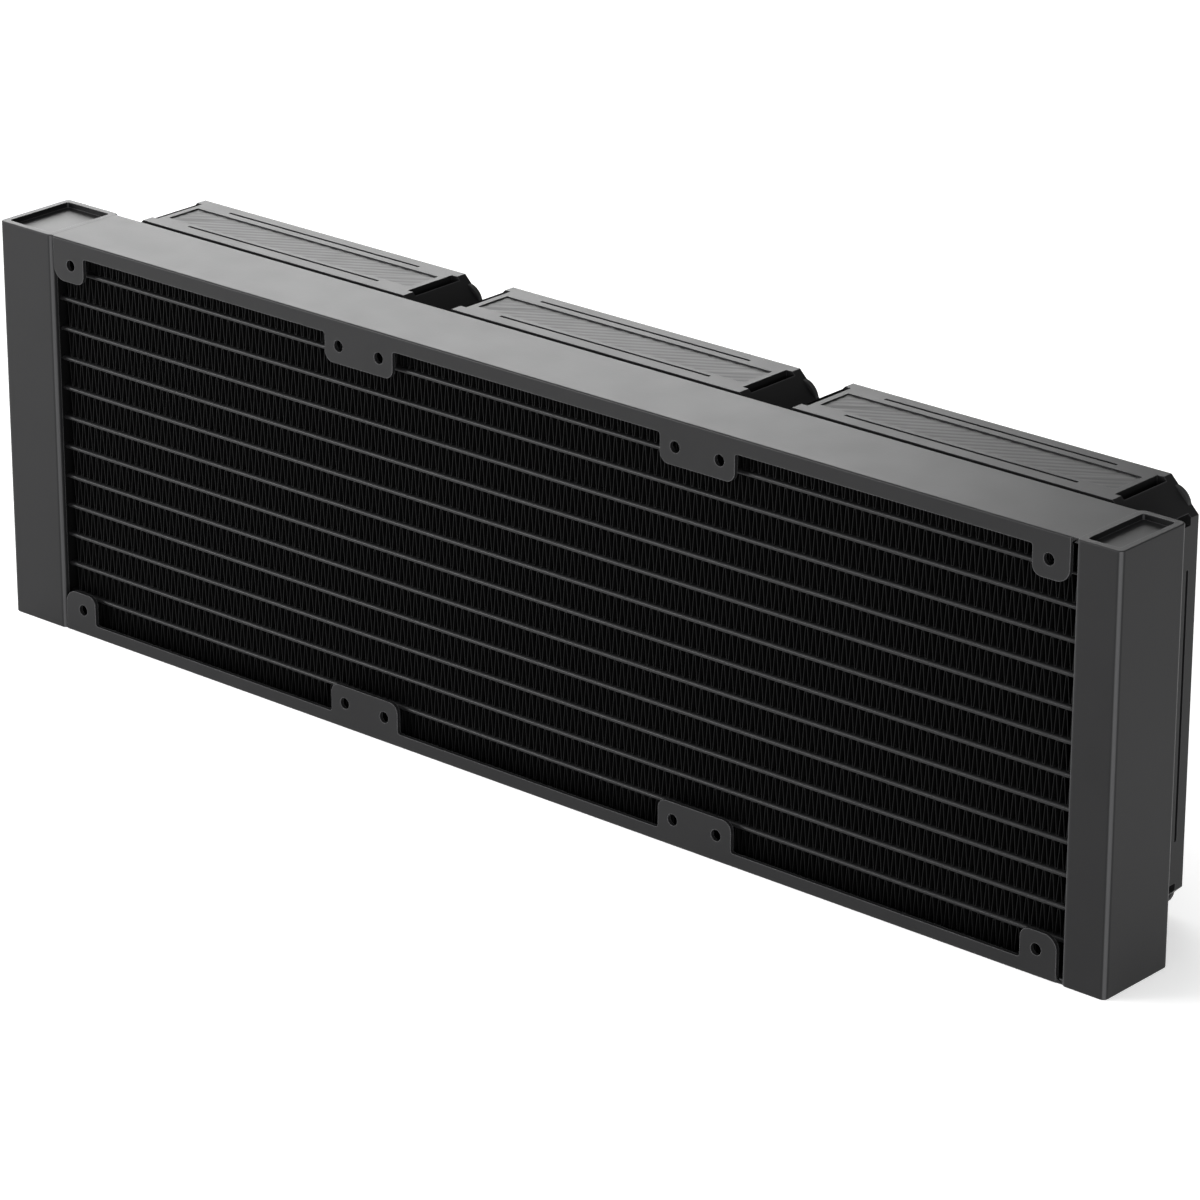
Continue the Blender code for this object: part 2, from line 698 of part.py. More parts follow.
def blade():
    """One twisted blade from inside the cup's wall to just short of the throat."""
    form = bmesh.new()
    bmesh.ops.create_grid(form, x_segments=2, y_segments=3, size=0.5)
    root = CUP_RADIUS - BLADE_IN_CUP
    tip = THROAT_RADIUS - BLADE_TIP_GAP
    middle = (BLADE_FRONT + BLADE_BACK) / 2
    for vertex in form.verts:
        out = vertex.co.x + 0.5
        chord = vertex.co.y
        radius = root + (tip - root) * out
        sweep = BLADE_ROOT_SWEEP + (BLADE_TIP_SWEEP - BLADE_ROOT_SWEEP) * out
        angle = math.radians(sweep * chord + BLADE_LEAN * out * out)
        depth = (BLADE_BACK - BLADE_FRONT) * (1.0 - BLADE_TAPER * out)
        camber = BLADE_CAMBER * (1.0 - 4.0 * chord * chord)
        y = middle + depth * chord - camber
        vertex.co = (radius * math.cos(angle), y, radius * math.sin(angle))
    bmesh.ops.recalc_face_normals(form, faces=form.faces)
    mesh = bpy.data.meshes.new("blade")
    form.to_mesh(mesh)
    form.free()
    item = bpy.data.objects.new("blade", mesh)
    PARTS.objects.link(item)
    wall = item.modifiers.new("wall", "SOLIDIFY")
    wall.thickness = BLADE_THICKNESS
    wall.offset = 0.0
    result = evaluated_mesh(item)
    bpy.data.objects.remove(item, do_unlink=True)
    return result


def fan_rotor():
    single = blade()
    form = bmesh.new()
    for turn in range(BLADE_COUNT):
        copy = single.copy()
        copy.transform(Matrix.Rotation(2 * math.pi / BLADE_COUNT * turn, 4, "Y"))
        form.from_mesh(copy)
        bpy.data.meshes.remove(copy)
    return smooth(joined(rotor_cup(), mesh_of(form), "blades"))


def fan_stator():
    """A laminated core with six poles round the bearing housing."""
    count = STATOR_POLES * STATOR_STEPS_PER_POLE
    outline = []
    for i in range(count):
        on_a_face = i % STATOR_STEPS_PER_POLE < STATOR_STEPS_ON_A_FACE
        radius = STATOR_RADIUS if on_a_face else STATOR_SLOT_RADIUS
        angle = 2 * math.pi * i / count
        outline.append((radius * math.cos(angle), radius * math.sin(angle)))
    bore = circle(0.0, 0.0, HOUSING_RADIUS + GAP, SMALL)
    return smooth(plate([outline, bore], STATOR_START, STATOR_END), 30.0)


def fan_bearing():
    bore = SHAFT_RADIUS + SHAFT_CLEARANCE
    start = STRUT_BACK + GAP
    profile = [
        (bore, BEARING_END), (BEARING_RADIUS, BEARING_END), (BEARING_RADIUS, start), (bore, start),
    ]
    return smooth(turned(profile, SMALL))


def fan_shaft():
    profile = [
        (0.0, SHAFT_END), (SHAFT_RADIUS, SHAFT_END), (SHAFT_RADIUS, SHAFT_START), (0.0, SHAFT_START),
    ]
    return smooth(turned(profile, SMALL))


def fan_screw():
    """A long screw with a pan head, its shank reaching through the channel's back tab."""
    seat = FAN_DEPTH - COUNTERBORE_DEPTH + GAP
    head = seat + SCREW_HEAD
    end = CHANNEL_BACK_Y - CHANNEL_SHEET - SCREW_END_PAST_FLANGE - FAN_Y
    profile = [
        (0.0, head), (SCREW_HEAD_RADIUS, head), (SCREW_HEAD_RADIUS, seat),
        (SCREW_RADIUS, seat), (SCREW_RADIUS, end), (0.0, end),
    ]
    return smooth(turned(profile, TINY))


def fan_empty(number):
    """A fan's axis: the parent of its pieces."""
    empty = bpy.data.objects.new(f"fan_{number}_axis", None)
    empty.empty_display_size = 20.0 * MM
    x = FAN_ROW_X + FAN_PITCH * (number - (FAN_COUNT + 1) / 2)
    empty.location = (x, FAN_Y, MIDDLE_Z)
    PARTS.objects.link(empty)
    return empty


def build_fans():
    pieces = [
        ("frame", fan_frame(), "fan_frame_black"),
        ("rotor", fan_rotor(), "rotor_black"),
        ("shaft", fan_shaft(), "steel"),
        ("stator", fan_stator(), "stator_copper"),
        ("bearing", fan_bearing(), "bearing_bronze"),
    ]
    screw = fan_screw()
    for number in range(1, FAN_COUNT + 1):
        axis = fan_empty(number)
        for name, mesh, finish in pieces:
            add_part(f"fan_{number}_{name}", mesh, finish, parent=axis)
        for count, (x, z) in enumerate(corners(), 1):
            add_part(f"fan_{number}_screw_{count}", screw, "black_screw", axis, (x, 0.0, z))


clear_scene()
PARTS = make_collection("liquid_cooling_radiator")
CUTTERS = make_collection("radiator_cutters")
build_left_tank()
build_right_tank()
build_headers()
build_tubes()
build_fins()
build_channels()
build_fans()
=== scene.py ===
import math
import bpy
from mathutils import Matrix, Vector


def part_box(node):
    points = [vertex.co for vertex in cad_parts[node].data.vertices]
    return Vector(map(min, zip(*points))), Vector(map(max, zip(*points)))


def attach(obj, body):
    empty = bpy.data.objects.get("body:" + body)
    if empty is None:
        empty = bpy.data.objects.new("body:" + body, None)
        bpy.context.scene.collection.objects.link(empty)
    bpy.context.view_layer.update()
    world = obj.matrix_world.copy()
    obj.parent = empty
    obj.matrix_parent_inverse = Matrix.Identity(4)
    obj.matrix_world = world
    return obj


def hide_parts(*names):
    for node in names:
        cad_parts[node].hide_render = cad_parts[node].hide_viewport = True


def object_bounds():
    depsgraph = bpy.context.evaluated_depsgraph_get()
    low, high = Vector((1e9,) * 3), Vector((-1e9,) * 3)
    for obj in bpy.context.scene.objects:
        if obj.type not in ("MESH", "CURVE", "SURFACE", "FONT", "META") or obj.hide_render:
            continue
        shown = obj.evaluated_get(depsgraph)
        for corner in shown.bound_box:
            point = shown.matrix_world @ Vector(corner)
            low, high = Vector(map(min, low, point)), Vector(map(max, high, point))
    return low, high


bl_info = {
    "name": "Liquid Cooling Radiator",
    "version": (1, 0, 0),
    "blender": (4, 5, 0),
    "location": "3D View > Sidebar > Radiator",
    "description": "Finishes a liquid cooling radiator with three fans on its fixed frame",
    "category": "Object",
}

import bmesh
import bpy
from mathutils import Matrix, Vector

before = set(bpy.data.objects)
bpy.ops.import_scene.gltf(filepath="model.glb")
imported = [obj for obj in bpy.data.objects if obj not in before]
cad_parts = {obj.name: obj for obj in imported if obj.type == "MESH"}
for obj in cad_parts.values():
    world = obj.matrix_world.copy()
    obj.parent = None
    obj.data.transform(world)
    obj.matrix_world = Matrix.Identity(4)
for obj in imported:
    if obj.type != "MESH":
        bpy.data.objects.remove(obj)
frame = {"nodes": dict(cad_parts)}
CAD_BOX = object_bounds()

MM = 0.001
CUT = 1.0 * MM  # how far a cutter reaches past the face it opens
LOW, HIGH = CAD_BOX
MIDDLE_Z = (LOW[2] + HIGH[2]) / 2
ROOT = "radiator"
FANS = (1, 2, 3)
TUBE_COUNT = 12
FIN_ROW_COUNT = 13

# Camera: where it stands, what is to its right and where it looks
CAMERA_PLACE = (0.9003, -1.01675, 0.5891)
CAMERA_RIGHT = (0.7512, 0.6601, 0.0009)
CAMERA_AHEAD = (-0.6129, 0.6980, -0.3704)

# Tanks
TANK_EDGE = 0.35 * MM
POCKET_CORNER = 0.9 * MM
POCKET_FLOOR = 2.0 * MM
PORT_SPACING = 60.0 * MM
PORT_FROM_END = 10.0 * MM
PORT_RADIUS = 6.6 * MM
PORT_LEAD_IN = 8.6 * MM
PORT_DEPTH = 8.0 * MM
PORT_BOSS_RADIUS = 8.1 * MM
PORT_BOSS_LENGTH = 7.0 * MM
THREAD_PITCH = 1.337 * MM
THREAD_START = 1.3 * MM
THREAD_RIDGE = 6.0 * MM
THREAD_TURNS = 4

# Core
TUBE_WALL = 0.35 * MM
FIN_TO_TUBE = 0.1 * MM

# Side channels
CHANNEL_LAP = 0.8 * MM  # how far a plate reaches past its node at each end
CHANNEL_LIFT = 0.17 * MM  # brings a plate nearly flush with the tanks' rims
CHANNEL_TRIM = 0.35 * MM  # off its back, to leave room for the fans
CHANNEL_EDGE = 0.15 * MM
TAB_HEIGHT = 12.4 * MM
TAB_HALF_WIDTH = 12.6 * MM
TAB_CORNER = 2.8 * MM
TAB_FILLET = 0.8 * MM
TAB_HOLE_RADIUS = 1.65 * MM
END_TAB_CORNER = 4.0 * MM
END_SPACE = 6.0 * MM
UPPER_FLANGE = 4.3 * MM
LOWER_FLANGE = 3.7 * MM
FROM_LEFT_TANK = 0.3 * MM  # from the end of a channel's node to its first tab
FROM_RIGHT_TANK = 1.3 * MM
RELIEF_DEPTH = 0.55 * MM

# Fans, from their face on the radiator's side where a size lies along Y
FAN_PITCH = 120.0 * MM
FAN_DEPTH = 25.0 * MM
FAN_CORNER_CUT = 8.8 * MM
FAN_EDGE = 0.18 * MM
HOLE_PITCH = 105.0 * MM
HOLE_RADIUS = 2.2 * MM
COUNTERBORE_RADIUS = 3.4 * MM
COUNTERBORE_DEPTH = 2.4 * MM
THROAT_RADIUS = 57.7 * MM
PANEL_MIDDLE = 12.3 * MM
PANEL_LENGTH = 94.3 * MM
PANEL_WIDTH = 11.7 * MM
PANEL_RECESS = 0.4 * MM
PANEL_MARGIN = 0.1 * MM
RIB_SLANT = math.radians(34.0)
GROOVE_LENGTH = 74.4 * MM
GROOVE_DEPTH = 1.2 * MM
GROOVE_PLACES = (4.5 * MM, 21.0 * MM)
NOTCH_SPAN = (49.05 * MM, 51.95 * MM)
NOTCH_WIDE = (3.75 * MM, 21.7 * MM)
NOTCH_DEPTH = 4.0 * MM
PAD_RADIUS = 5.2 * MM
PAD_THICKNESS = 1.5 * MM
PAD_STANDS_OUT = 1.0 * MM
STRUT_COUNT = 4
STRUT_WIDTH = 4.5 * MM
STRUT_ROUND = 0.7 * MM
HUB_START = 0.5 * MM
HUB_END = 4.0 * MM
HUB_RADIUS = 19.5 * MM
HOUSING_RADIUS = 5.3 * MM
HOUSING_BORE = 4.2 * MM
HOUSING_END = 15.0 * MM

# Rotors
CUP_RADIUS = 20.0 * MM
CUP_BORE = 16.0 * MM
CUP_WALL = 2.0 * MM
CUP_CORNER = 2.4 * MM
CUP_RIM = 5.0 * MM
CUP_FACE = 24.0 * MM
CUP_GROOVE = 0.25 * MM
BOSS_RADIUS = 3.6 * MM
BOSS_START = 17.0 * MM
SHAFT_ROOM = 1.65 * MM
SHAFT_END = 21.3 * MM
BLADE_ROOT = 18.9 * MM
BLADE_TIP = 56.5 * MM
BLADE_MIDDLE = 14.5 * MM
BLADE_DEPTH = 17.0 * MM
BLADE_SHEET = 1.4 * MM
BLADE_EDGE = 0.45 * MM
BLADE_CAMBER = 1.6 * MM
BLADE_TAPER = 0.12  # share of its depth that a blade loses towards its tip
BLADE_SWEEP = (26.0, 7.0)  # degrees from edge to edge at the root, and what the tip adds
BLADE_LEAN = 16.0

# Screws
HEAD_RADIUS = 2.8 * MM
HEAD_HEIGHT = 1.9 * MM
HEAD_CROWN = 1.5 * MM
SHANK_RADIUS = 1.35 * MM
SHANK_POINT = 0.8 * MM
CROSS_LENGTH = 1.6 * MM
CROSS_WIDTH = 0.35 * MM
CROSS_DEPTH = 1.1 * MM


def span(node, axis):
    """The lowest and the highest place of a node along one axis."""
    low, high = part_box(node)
    return low[axis], high[axis]


def fan_axis(number):
    """Where a fan's shaft stands: (x, z)."""
    low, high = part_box(f"fan_{number}_shaft")
    return (low.x + high.x) / 2, (low.z + high.z) / 2


FAN_Y = span("fan_1_frame", 1)[1] - FAN_DEPTH


# Selecting and finishing

def deselect():
    if bpy.context.mode != "OBJECT":
        bpy.ops.object.mode_set(mode="OBJECT")
    bpy.ops.object.select_all(action="DESELECT")


def only(piece):
    """Select one object and make it the active one."""
    deselect()
    piece.select_set(True)
    bpy.context.view_layer.objects.active = piece


def settle(piece):
    """Move an object's place, turn and scale into its mesh."""
    only(piece)
    bpy.ops.object.transform_apply(location=True, rotation=True, scale=True)
    return piece


def pick(piece, kind, test):
    """Open a piece in edit mode with only the parts that pass a test selected."""
    only(piece)
    bpy.ops.object.mode_set(mode="EDIT")
    bpy.ops.mesh.select_mode(type=kind)
    bpy.ops.mesh.select_all(action="DESELECT")
    form = bmesh.from_edit_mesh(piece.data)
    parts = {"VERT": form.verts, "EDGE": form.edges, "FACE": form.faces}[kind]
    for part in parts:
        if test(part):
            part.select_set(True)
    bmesh.update_edit_mesh(piece.data)


def done():
    bpy.ops.object.mode_set(mode="OBJECT")


def modified(piece, kind, **settings):
    """Add a modifier, set it and apply it."""
    only(piece)
    modifier = piece.modifiers.new(kind.lower(), kind)
    for key, value in settings.items():
        setattr(modifier, key, value)
    bpy.ops.object.modifier_apply(modifier=modifier.name)
    return piece


def combined(piece, other, operation="DIFFERENCE"):
    modified(piece, "BOOLEAN", operation=operation, solver="EXACT", object=other)
    bpy.data.objects.remove(other, do_unlink=True)
    return piece


def merged(piece, others):
    """Join other objects into a piece."""
    deselect()
    for other in others:
        other.select_set(True)
    piece.select_set(True)
    bpy.context.view_layer.objects.active = piece
    bpy.ops.object.join()
    return piece


def cleaned(piece):
    """Merge double points and flat neighbouring faces."""
    only(piece)
    bpy.ops.object.mode_set(mode="EDIT")
    bpy.ops.mesh.select_all(action="SELECT")
    bpy.ops.mesh.remove_doubles(threshold=0.002 * MM)
    bpy.ops.mesh.dissolve_limited(angle_limit=math.radians(0.5))
    done()
    return piece


def outward(piece):
    """Merge double points and turn every face outwards."""
    only(piece)
    bpy.ops.object.mode_set(mode="EDIT")
    bpy.ops.mesh.select_all(action="SELECT")
    bpy.ops.mesh.remove_doubles(threshold=0.002 * MM)
    bpy.ops.mesh.normals_make_consistent(inside=False)
    done()
    return piece


def soften(piece, width, segments=2, angle=30.0):
    """Round the sharp edges and shade what is left smooth."""
    modified(
        piece, "BEVEL", width=width, segments=segments, limit_method="ANGLE",
        angle_limit=math.radians(angle), use_clamp_overlap=True,
    )
    return flat_kept(shaded(piece, angle))


def flat_kept(piece):
    """Keep large faces flat in the shading and leave the rounding to the narrow ones."""
    return modified(piece, "WEIGHTED_NORMAL", weight=100, keep_sharp=True)


def shaded(piece, angle=30.0):
    only(piece)
    bpy.ops.object.shade_smooth_by_angle(angle=math.radians(angle))
    return piece


def copied(piece, name, shift):
    """A copy with its own mesh, moved by a vector in its mesh."""
    twin = piece.copy()
    twin.data = piece.data.copy()
    twin.name = name
    twin.data.transform(Matrix.Translation(shift))
    bpy.context.scene.collection.objects.link(twin)
    return twin


def turned_round(piece, place, angle):
    """Turn a piece's mesh round an axis along Y at (x, z)."""
    middle = Matrix.Translation((place[0], 0.0, place[1]))
    piece.data.transform(middle @ Matrix.Rotation(angle, 4, "Y") @ middle.inverted())
    return piece


def along(piece, axis):
    """Select a bar's edges that run along one axis."""
    pick(piece, "EDGE", lambda edge: abs((edge.verts[0].co - edge.verts[1].co)[axis]) > MM)


def finished(piece, body, material, nodes=()):
    """Give a piece its finish, its body and the frame nodes that it stands for."""
    piece.data.name = piece.name
    piece.data.materials.clear()
    piece.data.materials.append(material)
    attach(piece, body)
    if nodes:
        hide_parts(*nodes)
    return piece


def refinished(node, material):
    """Give a frame node a better material and leave its shape."""
    item = frame["nodes"][node]
    item.data.materials.clear()
    item.data.materials.append(material)


# Starting shapes

def bar(name, low, high):
    """A box between two corners."""
    deselect()
    size = [b - a for a, b in zip(low, high)]
    middle = [(a + b) / 2 for a, b in zip(low, high)]
    bpy.ops.mesh.primitive_cube_add(size=1.0, location=middle, scale=size)
    piece = bpy.context.object
    piece.name = name
    return settle(piece)


def rod(name, radius, start, end, place, segments):
    """A cylinder along Y round (x, z)."""
    deselect()
    bpy.ops.mesh.primitive_cylinder_add(
        vertices=segments, radius=radius, depth=end - start,
        location=(place[0], (start + end) / 2, place[1]), rotation=(math.pi / 2, 0.0, 0.0),
    )
    piece = bpy.context.object
    piece.name = name
    return settle(piece)


def drawn(name, points, closed=False):
    """A line drawn through points by extruding one point after another."""
    deselect()
    bpy.ops.mesh.primitive_plane_add(size=MM, location=points[0])
    piece = bpy.context.object
    piece.name = name
    settle(piece)
    bpy.ops.object.mode_set(mode="EDIT")
    bpy.ops.mesh.select_mode(type="VERT")
    bpy.ops.mesh.select_all(action="SELECT")
    bpy.ops.mesh.merge(type="CENTER")
    stops = [*points, points[0]] if closed else points
    for here, there in zip(stops, stops[1:]):
        step = [b - a for a, b in zip(here, there)]
        bpy.ops.mesh.extrude_region_move(TRANSFORM_OT_translate={"value": step})
    if closed:
        bpy.ops.mesh.select_all(action="SELECT")
        bpy.ops.mesh.remove_doubles(threshold=0.001 * MM)
        bpy.ops.mesh.edge_face_add()
    done()
    return piece


def stretched(piece, step):
    """Extrude everything in a piece along a vector."""
    only(piece)
    bpy.ops.object.mode_set(mode="EDIT")
    bpy.ops.mesh.select_all(action="SELECT")
    bpy.ops.mesh.extrude_region_move(TRANSFORM_OT_translate={"value": step})
    done()
    return piece


def outline(name, points, start, end):
    """A solid made from a closed outline of (x, z), from one Y to another."""
    piece = drawn(name, [(x, start, z) for x, z in points], closed=True)
    return outward(stretched(piece, (0.0, end - start, 0.0)))


def turned(name, profile, place, steps):
    """A profile of (radius, y) spun round an axis along Y at (x, z)."""
    x, z = place
    piece = drawn(name, [(x + radius, y, z) for radius, y in profile])
    only(piece)
    bpy.ops.object.mode_set(mode="EDIT")
    bpy.ops.mesh.select_all(action="SELECT")
    bpy.ops.mesh.spin(steps=steps, angle=2 * math.pi, center=(x, 0.0, z), axis=(0.0, 1.0, 0.0))
    done()
    return outward(piece)


def arc(x, z, radius, first, last, steps):
    """Points on an arc, with angles in degrees from +X towards +Z."""
    turns = [math.radians(first + (last - first) * i / steps) for i in range(steps + 1)]
    return [(x + radius * math.cos(a), z + radius * math.sin(a)) for a in turns]


# Materials

class Nodes:
    """A short way to build a material's nodes round its Principled shader."""

    def __init__(self, name):
        self.material = bpy.data.materials.new(name)
        self.material.use_nodes = True
        self.tree = self.material.node_tree
        self.shader = self.tree.nodes["Principled BSDF"]
        self.place = self.add("ShaderNodeTexCoord").outputs["Object"]

    def add(self, kind, **settings):
        node = self.tree.nodes.new(kind)
        for key, value in settings.items():
            setattr(node, key, value)
        return node

    def link(self, source, target):
        self.tree.links.new(source, target)

    def noise(self, scale, detail=2.0, roughness=0.5, stretch=None):
        """Noise with about `scale` grains to the metre, stretched along an axis if asked."""
        node = self.add("ShaderNodeTexNoise")
        node.inputs["Scale"].default_value = scale
        node.inputs["Detail"].default_value = detail
        node.inputs["Roughness"].default_value = roughness
        source = self.place
        if stretch:
            mapping = self.add("ShaderNodeMapping")
            mapping.inputs["Scale"].default_value = stretch
            self.link(source, mapping.inputs["Vector"])
            source = mapping.outputs["Vector"]
        self.link(source, node.inputs["Vector"])
        return node.outputs["Fac"]

    def ranged(self, source, low, high, first=0.0, last=1.0):
        """Map a value from one range to another."""
        node = self.add("ShaderNodeMapRange")
        node.inputs["From Min"].default_value = first
        node.inputs["From Max"].default_value = last
        node.inputs["To Min"].default_value = low
        node.inputs["To Max"].default_value = high
        self.link(source, node.inputs["Value"])
        return node.outputs["Result"]

    def mixed(self, factor, first, second):
        """Mix two colours by a factor. A colour may be a value or a socket."""
        node = self.add("ShaderNodeMix", data_type="RGBA")
        self.link(factor, node.inputs["Factor"])
        for socket, colour in ((node.inputs[6], first), (node.inputs[7], second)):
            if isinstance(colour, bpy.types.NodeSocket):
                self.link(colour, socket)
            else:
                socket.default_value = (*colour, 1.0)
        return node.outputs[2]

    def edges(self, radius):
        """Mask for the painted edge highlight: high close to an edge of the piece and low on its
        faces.
        """
        bevel = self.add("ShaderNodeBevel", samples=4)
        bevel.inputs["Radius"].default_value = radius
        geometry = self.add("ShaderNodeNewGeometry")
        dot = self.add("ShaderNodeVectorMath", operation="DOT_PRODUCT")
        self.link(bevel.outputs["Normal"], dot.inputs[0])
        self.link(geometry.outputs["Normal"], dot.inputs[1])
        return self.ranged(dot.outputs["Value"], 1.0, 0.0, 0.80, 0.995)

    def corner_highlight_mask(self):
        """Mask for a painted highlight: high along the middle of an upright rounded corner and low
        on the flat faces.
        """
        geometry = self.add("ShaderNodeNewGeometry")
        split = self.add("ShaderNodeSeparateXYZ")
        self.link(geometry.outputs["Normal"], split.inputs["Vector"])
        product = self.add("ShaderNodeMath", operation="MULTIPLY")
        self.link(split.outputs["X"], product.inputs[0])
        self.link(split.outputs["Y"], product.inputs[1])
        size = self.add("ShaderNodeMath", operation="ABSOLUTE")
        self.link(product.outputs["Value"], size.inputs[0])
        return self.ranged(size.outputs["Value"], 0.0, 1.0, 0.34, 0.46)

    def bump(self, *layers):
        """Stack bumps of (height socket, strength, distance)."""
        last = None
        for height, strength, distance in layers:
            node = self.add("ShaderNodeBump")
            node.inputs["Strength"].default_value = strength
            node.inputs["Distance"].default_value = distance
            self.link(height, node.inputs["Height"])
            if last:
                self.link(last, node.inputs["Normal"])
            last = node.outputs["Normal"]
        self.link(last, self.shader.inputs["Normal"])

    def set(self, **values):
        for key, value in values.items():
            self.shader.inputs[key.replace("_", " ")].default_value = value


def coated(name, colour, roughness, grain, depth, edge_highlight, shine=0.5, corners=False):
    """A thin satin coat: cloudy colour, fine orange peel, slightly paler edges that are a painted
    highlight, and a painted highlight down upright rounded corners if asked.
    """
    nodes = Nodes(name)
    clouds = nodes.noise(45.0, 4.0, 0.6)
    dark = [c * 0.82 for c in colour]
    pale = [c * 1.15 for c in colour]
    base = nodes.mixed(clouds, dark, pale)
    # Paler colour near every edge: a painted edge highlight.
    base = nodes.mixed(nodes.edges(0.35 * MM), base, edge_highlight)
    # With corners set, upright rounded corners get a lighter colour: a painted highlight.
    if corners:
        base = nodes.mixed(nodes.corner_highlight_mask(), base, [0.5 * c for c in edge_highlight])
    nodes.link(base, nodes.shader.inputs["Base Color"])
    dull = nodes.ranged(nodes.noise(90.0, 3.0), roughness - 0.012, roughness + 0.012, 0.3, 0.7)
    nodes.link(dull, nodes.shader.inputs["Roughness"])
    nodes.bump((nodes.noise(grain, 2.0), 0.3, depth))
    nodes.set(Specular_IOR_Level=shine, IOR=1.5)
    return nodes.material


def metal(name, colour, roughness, grain, depth, stretch=None):
    """Bare or plated metal with fine machining marks."""
    nodes = Nodes(name)
    clouds = nodes.noise(160.0, 3.0)
    base = nodes.mixed(clouds, [c * 0.85 for c in colour], [min(c * 1.1, 1.0) for c in colour])
    nodes.link(base, nodes.shader.inputs["Base Color"])
    marks = nodes.noise(grain, 2.0, 0.6, stretch)
    dull = nodes.ranged(marks, roughness - 0.07, roughness + 0.09, 0.3, 0.7)
    nodes.link(dull, nodes.shader.inputs["Roughness"])
    nodes.bump((marks, 0.25, depth))
    nodes.set(Metallic=1.0)
    return nodes.material


def windings(name, colour, pole):
    """Enamelled copper wire on a dark laminated core."""
    nodes = Nodes(name)
    wave = nodes.add("ShaderNodeTexWave", wave_type="BANDS", bands_direction="Y")
    wave.inputs["Scale"].default_value = 1.0 / (0.5 * MM) / math.tau
    nodes.link(nodes.place, wave.inputs["Vector"])
    base = nodes.mixed(wave.outputs["Fac"], pole, colour)
    nodes.link(base, nodes.shader.inputs["Base Color"])
    nodes.bump((wave.outputs["Fac"], 0.6, 0.15 * MM))
    nodes.set(Metallic=0.8, Roughness=0.35)
    return nodes.material


def made_material(name, maker, *settings):
    """Make a material once and use it again after that."""
    return bpy.data.materials.get(name) or maker(name, *settings)


def coat_material():
    colours = bpy.context.scene.radiator_finish
    return made_material(
        "satin_black_coat", coated, colours.coat, colours.coat_roughness, 1400.0, 0.03 * MM,
        # The pale edge colour is a painted highlight; True turns on the painted corner highlight.
        (0.11, 0.11, 0.113), 0.16, True,
    )


def fin_and_header_shade_material():
    colours = bpy.context.scene.radiator_finish
    return made_material(
        # The last colour is a painted edge highlight.
        "dull_black_fin_and_header_shade", coated, colours.fin, 0.5, 1800.0, 0.02 * MM, (0.005, 0.005, 0.0052),
        0.08,
    )


def frame_material():
    colours = bpy.context.scene.radiator_finish
    return made_material(
        "moulded_black_frame", coated, colours.frame, colours.frame_roughness, 1700.0, 0.02 * MM,
        # The pale colour is a painted edge highlight.
        (0.05, 0.05, 0.052), 0.18,
    )


def panel_material():
    colours = bpy.context.scene.radiator_finish
    return made_material(
        # The last colour is a painted edge highlight.
        "ribbed_black_panel", coated, colours.frame, 0.46, 1700.0, 0.02 * MM, (0.02, 0.02, 0.021),
        0.25,
    )


def rotor_material():
    colours = bpy.context.scene.radiator_finish
    return made_material(
        "moulded_black_rotor", coated, colours.rotor, 0.36, 1500.0, 0.015 * MM,
        # The pale colour is a painted edge highlight.
        (0.018, 0.018, 0.0185),
    )


def rubber_material():
    return made_material(
        "black_rubber_pad", coated, (0.014, 0.014, 0.0145), 0.7, 2200.0, 0.03 * MM,
        # The pale colour is a painted edge highlight.
        (0.02, 0.02, 0.021),
    )


def screw_material():
    return made_material(
        "black_plated_screw", metal, (0.055, 0.055, 0.058), 0.33, 3000.0, 0.01 * MM
    )


# Sizes and finishes that a user may change

class RadiatorSizes(bpy.types.PropertyGroup):
    """Sizes of the pieces."""

    def length(name, description, default):
        return bpy.props.FloatProperty(
            name=name, description=description, default=default, min=0.0, precision=5,
            subtype="DISTANCE", unit="LENGTH",
        )

    tank_wall: length("Tank wall", "Width of the rim round a tank's pocket", 2.0 * MM)
    tank_corner: length("Tank corner", "Radius of a tank's long edges", 1.6 * MM)
    pocket_depth: length("Pocket depth", "Depth of the pocket in a tank's end", 1.6 * MM)
    fin_pitch: length("Fin pitch", "From one fold of a fin strip to the next", 2.5 * MM)
    fin_sheet: length("Fin sheet", "Thickness of a fin strip", 0.2 * MM)
    fin_bend: length("Fin bend", "Radius of a fold's crest", 0.34 * MM)
    channel_sheet: length("Channel sheet", "Thickness of a side channel", 1.2 * MM)
    channel_bend: length("Channel bend", "Outer radius of a side channel's bends", 0.5 * MM)
    groove_width: length("Groove width", "Width of the grooves in a fan's sides", 1.0 * MM)
    rib_pitch: length("Rib pitch", "From one slanted rib of a side panel to the next", 2.6 * MM)
    rib_height: length("Rib height", "Height of the slanted ribs", 0.12 * MM)
    blade_count: bpy.props.IntProperty(
        name="Blades", description="How many blades a rotor has", default=9, min=3, max=15
    )


class RadiatorFinish(bpy.types.PropertyGroup):
    """Colours and roughness of the finishes."""

    def colour(name, description, default):
        return bpy.props.FloatVectorProperty(
            name=name, description=description, default=default, min=0.0, max=1.0,
            size=3, subtype="COLOR",
        )

    def factor(name, description, default):
        return bpy.props.FloatProperty(
            name=name, description=description, default=default, min=0.0, max=1.0,
            subtype="FACTOR",
        )

    coat: colour("Coat", "Colour of the coated tanks, channels and tubes", (0.011, 0.011, 0.0115))
    coat_roughness: factor("Coat roughness", "Roughness of the coat", 0.38)
    # This near-black also colours the headers, where it is painted shade.
    fin: colour("Fins", "Colour of the fin strips", (0.0025, 0.0025, 0.0026))
    frame: colour("Fan frame", "Colour of the fan frames", (0.009, 0.009, 0.0093))
    frame_roughness: factor("Frame roughness", "Roughness of the fan frames", 0.40)
    rotor: colour("Rotor", "Colour of the rotors", (0.008, 0.008, 0.0083))


